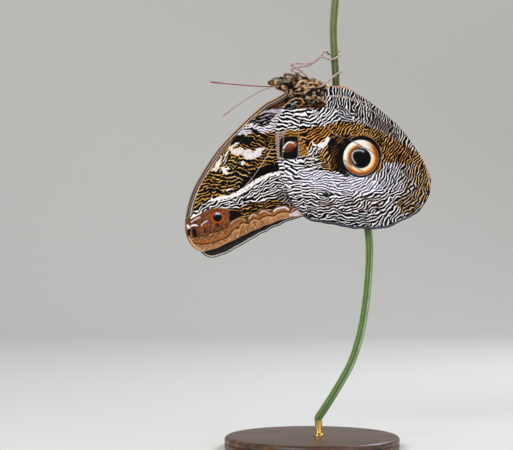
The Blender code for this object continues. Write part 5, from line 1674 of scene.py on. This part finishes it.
class StageSettings(bpy.types.PropertyGroup):
    """Camera, light and backdrop."""

    key_power: FloatProperty(name="Key", description="Power of the main soft light", default=6.2,
                             unit="POWER")
    fill_power: FloatProperty(name="Fill", description="Power of the fill light", default=1.8, unit="POWER")
    back_power: FloatProperty(name="Rim", description="Power of the light behind", default=3.0, unit="POWER")
    room_light: FloatProperty(name="Room", description="Strength of the even light", default=0.40, min=0.0)
    lens: FloatProperty(name="Lens", description="Focal length", default=122.8, min=20.0, unit="CAMERA")


def plain(group):
    """A settings group's values under their own names, with lengths in millimetres."""
    values = {}
    for name, prop in group.bl_rna.properties.items():
        if name not in ("rna_type", "name"):
            values[name] = getattr(group, name) / MM if prop.unit == "LENGTH" else getattr(group, name)
    return SimpleNamespace(**values)


class BUTTERFLY_OT_wings(bpy.types.Operator):
    """Build the four wings, with their eye spots"""

    bl_idname = "butterfly.wings"
    bl_label = "Wings"

    def execute(self, context):
        settings = plain(context.scene.butterfly_wings)
        scales = wing_scales()
        face = wing_face(HIND_OUTLINE, HIND_VEINS, HIND_ANGLE, "#8792a4", settings, rows=HIND_ZONES,
                         lay=HIND_LAY, lines=HIND_STROKES, seed=SEED, spots=hind_spots,
                         tones=("#d9d5dc", "#171514", "#c9b0a2"))
        for side, drop in (("right", 0.0), ("left", FAR_HIND_DROP)):
            shell = wing_piece(face, side, HIND_ANGLE, HIND_ANGLE, drop, hind_depth, settings)
            solid("wing_hind_" + side, shell, scales, "wing", "wing_hind_" + side)
        face = wing_face(FORE_OUTLINE, FORE_VEINS, FORE_ANGLE, "#d0cbc4", settings, rows=FORE_ZONES,
                         lay=FORE_LAY, lines=FORE_STROKES, seed=SEED + 30, spots=fore_spots,
                         tones=("#c08a3c", "#110e0b", "#8f878c"))
        for side, turn in (("right", 0.0), ("left", FAR_FORE_TURN)):
            shell = wing_piece(face, side, FORE_ANGLE, FORE_ANGLE + turn, 0.0, fore_depth, settings)
            solid("wing_fore_" + side, shell, scales, "wing", "wing_fore_" + side)
        return {"FINISHED"}


class BUTTERFLY_OT_body(bpy.types.Operator):
    """Build the body's skin and the coat on it"""

    bl_idname = "butterfly.body"
    bl_label = "Body and coat"

    def execute(self, context):
        settings = plain(context.scene.butterfly_body)
        skin = Skin(settings)
        shape = lofted(skin.path, skin.width, skin.height, 96)
        # The skin between the tufts is darkened as painted shade under the coat.
        tint = coat_tint(shape["corners"]) * 0.55
        shape["marks"] = {"tint": tint, "reach": np.full(len(tint), 0.3)}
        solid("body_skin", shape, fur("Body scales", 0.15), "body_scales", "head", "thorax", "abdomen")
        hair = fur("Body hair", 0.15)
        rng = np.random.default_rng(SEED)
        # Each coat: where it starts and ends, how many tufts, their length, width and lift, how much
        # they wander, and how steeply they rise.
        for name, *patch in (
            ("thorax", -11.0, 7.0, settings.thorax_tufts, 1.55, 0.18, 0.50, 0.12, 0.55),
            ("abdomen", 5.0, 27.0, settings.abdomen_tufts, 0.85, 0.26, 0.30, 0.25, 0.0),
            ("head", -15.0, -8.6, settings.head_tufts, 1.00, 0.15, 0.80, 0.22, 0.45),
            ("neck", -11.6, -7.6, settings.neck_tufts, 2.3, 0.20, 1.2, 0.22, 0.45),
        ):
            solid("coat_" + name, coat_patch(skin, *patch, rng), hair, "body_scales")
        for side, sign in SIDES.items():
            solid("coat_root_" + side, root_coat(sign, settings.root_tufts, rng), hair, "body_scales")
        return {"FINISHED"}


class BUTTERFLY_OT_head(bpy.types.Operator):
    """Build the eyes, the palps and the feelers"""

    bl_idname = "butterfly.head"
    bl_label = "Eyes, palps and feelers"

    def execute(self, context):
        settings = plain(context.scene.butterfly_body)
        lens, hair = eye_lens(), fur("Palp scales", 0.2)
        rng = np.random.default_rng(SEED + 1)
        t = np.cos(pi * np.linspace(0.03, 0.97, 25))
        girth = np.sqrt(1.0 - t * t)
        for side, sign in SIDES.items():
            path = np.array(EYE_MIDDLE) * (1.0, sign, 1.0) + t[:, None] * np.array((0.0, EYE_HALF[1], 0.0))
            eye = lofted(path, EYE_HALF[0] * girth, EYE_HALF[2] * girth, 48)
            solid("eye_" + side, eye, lens, "eye", "eye_" + side)
            solid("palp_" + side, palp(sign, settings, rng), hair, "body_scales", "palp_" + side)
        for side, (landmarks, *tones) in ANTENNAE.items():
            # The right feeler's material is the lit copy and the left one's is the shaded copy of one feeler
            # colour: painted light and shade.
            skin = feeler_skin("Feeler " + side, *tones)
            solid("antenna_" + side, feeler(landmarks), skin, "feeler", "antenna_" + side)
        return {"FINISHED"}


class BUTTERFLY_OT_legs(bpy.types.Operator):
    """Build the six legs"""

    bl_idname = "butterfly.legs"
    bl_label = "Legs"

    def execute(self, context):
        settings = plain(context.scene.butterfly_body)
        material = leg_skin()
        rng = np.random.default_rng(SEED + 2)
        fore = {"leg_fore_right": [(x, -y, z, r) for x, y, z, r in FORE_LEG], "leg_fore_left": FORE_LEG}
        for name, landmarks in {**fore, **LEGS}.items():
            solid(name, limb(landmarks, settings, rng, name not in fore), material, "leg", name)
        return {"FINISHED"}


class BUTTERFLY_OT_stem(bpy.types.Operator):
    """Build the length of stem that the butterfly holds"""

    bl_idname = "butterfly.stem"
    bl_label = "Stem"

    def execute(self, context):
        settings = plain(context.scene.butterfly_stand)
        path = smooth_line(STEM_LINE, 0.8)
        wander = 1.0 + 0.03 * (value_noise(path, 9.0, 4) - 0.5)
        radius = settings.stem_radius * wander / (1.0 + settings.rib_height)

        def rib(run, turn):
            """Wave of the soft ribs that twist slowly round the stem."""
            return np.cos(settings.stem_ribs * turn + 0.02 * run)

        shape = lofted(path, radius, radius, STEM_SIDES, (0.0, 1.0, 0.0),
                       lambda run, turn: 1.0 + settings.rib_height * rib(run, turn))
        run, turn = shape["marks"]["along"], shape["marks"]["around"]
        shape["marks"] = {
            "along": run, "streak": 3.0 * np.cos(turn) + 3.0 * np.sin(2 * turn),
            "cut": np.repeat((0.0, 1.0), (STEM_SIDES * len(path), 2)),
            "tint": stem_tint(shape["corners"][:, 2], turn, smooth(rib(run, turn) * 1.6 - 0.8)),
        }
        solid("stem", shape, stem_skin(), "stem", "stem")
        return {"FINISHED"}


class BUTTERFLY_OT_stand(bpy.types.Operator):
    """Build the turned base and the rod"""

    bl_idname = "butterfly.stand"
    bl_label = "Stand"

    def execute(self, context):
        wood = walnut(context.scene.butterfly_stand)
        solid("stand_base", turned_piece(BASE_PROFILE, 0.0, 0.0, 160), wood, "wood", "stand_base")
        solid("stand_rod", turned_piece(ROD_PROFILE, *STEM_LINE[0][:2], 48), brass(), "brass", "stand_rod")
        return {"FINISHED"}


class BUTTERFLY_OT_stage(bpy.types.Operator):
    """Set the pale backdrop, the soft lights and the camera"""

    bl_idname = "butterfly.stage"
    bl_label = "Stage"

    def execute(self, context):
        scene, settings = context.scene, context.scene.butterfly_stage
        # The sheet of paper runs level, bends up behind in a quarter circle, and goes on upright, in metres.
        angle = np.linspace(0.0, pi / 2, 24)
        depth = np.concatenate([[-1.6], 0.7 + 0.5 * np.sin(angle), [1.2]])
        height = np.concatenate([[0.0], 0.5 - 0.5 * np.cos(angle), [2.2]])
        sides = [np.stack([np.full(len(depth), x), depth, height], axis=1) for x in (-1.8, 1.8)]
        row = np.arange(len(depth) - 1)
        faces = np.stack([row, row + len(depth), row + len(depth) + 1, row + 1], axis=1)
        mesh = bpy.data.meshes.new("backdrop")
        mesh.from_pydata(np.concatenate(sides).tolist(), [], faces.tolist())
        mesh.polygons.foreach_set("use_smooth", np.ones(len(faces), bool))
        mesh.materials.append(paper())
        backdrop = bpy.data.objects.new("backdrop", mesh)
        scene.collection.objects.link(backdrop)
        for name, place, size, power, colour in (
            ("key", (-0.45, -0.75, 0.55), 0.5, settings.key_power, (1.0, 0.985, 0.96)),
            ("fill", (0.60, -0.60, 0.20), 0.6, settings.fill_power, (0.96, 0.98, 1.0)),
            ("rim", (0.45, 0.35, 0.55), 0.3, settings.back_power, (0.86, 0.92, 1.0)),
        ):
            lamp = bpy.data.lights.new(name, "AREA")
            lamp.shape, lamp.size, lamp.energy, lamp.color = "DISK", size, power, colour
            held = bpy.data.objects.new(name, lamp)
            held.location = place
            held.rotation_euler = (Vector(LIGHT_AIM) - Vector(place)).to_track_quat("-Z", "Y").to_euler()
            scene.collection.objects.link(held)
        scene.world = bpy.data.worlds.new("room")
        scene.world.use_nodes = True
        wire(scene.world.node_tree.nodes["Background"],
             {"Color": (0.95, 0.97, 1.0, 1.0), "Strength": settings.room_light})
        scene.view_settings.view_transform = "Standard"
        camera = bpy.data.cameras.new("camera")
        camera.lens, camera.sensor_width, camera.clip_start = settings.lens, 36.0, 0.01
        scene.camera = bpy.data.objects.new("camera", camera)
        scene.camera.location = CAMERA_PLACE
        scene.camera.rotation_euler = (pi / 2, 0.0, 0.0)
        scene.collection.objects.link(scene.camera)
        return {"FINISHED"}


SETTINGS = {
    "butterfly_wings": WingSettings, "butterfly_body": BodySettings,
    "butterfly_stand": StandSettings, "butterfly_stage": StageSettings,
}
OPERATORS = (
    BUTTERFLY_OT_stage, BUTTERFLY_OT_stand, BUTTERFLY_OT_stem, BUTTERFLY_OT_body, BUTTERFLY_OT_head,
    BUTTERFLY_OT_legs, BUTTERFLY_OT_wings,
)


class BUTTERFLY_PT_panel(bpy.types.Panel):
    """Settings, and buttons that build each group of pieces"""

    bl_idname = "BUTTERFLY_PT_panel"
    bl_label = "Owl butterfly"
    bl_space_type = "VIEW_3D"
    bl_region_type = "UI"
    bl_category = "Butterfly"

    def draw(self, context):
        for group in SETTINGS:
            box = self.layout.box()
            for title in plain(getattr(context.scene, group)).__dict__:
                box.prop(getattr(context.scene, group), title)
        for operator in OPERATORS:
            self.layout.operator(operator.bl_idname)


def register():
    """Add the settings, the operators and the panel."""
    for name, group in SETTINGS.items():
        bpy.utils.register_class(group)
        setattr(bpy.types.Scene, name, PointerProperty(type=group))
    for part in (*OPERATORS, BUTTERFLY_PT_panel):
        bpy.utils.register_class(part)


def unregister():
    """Take them away again, last first."""
    for part in (BUTTERFLY_PT_panel, *reversed(OPERATORS)):
        bpy.utils.unregister_class(part)
    for name, group in reversed(SETTINGS.items()):
        delattr(bpy.types.Scene, name)
        bpy.utils.unregister_class(group)


def main():
    """Build every piece."""
    register()
    bpy.ops.butterfly.stage()
    bpy.ops.butterfly.stand()
    bpy.ops.butterfly.stem()
    bpy.ops.butterfly.body()
    bpy.ops.butterfly.head()
    bpy.ops.butterfly.legs()
    bpy.ops.butterfly.wings()
    bpy.context.view_layer.update()


if __name__ == "__main__":
    main()
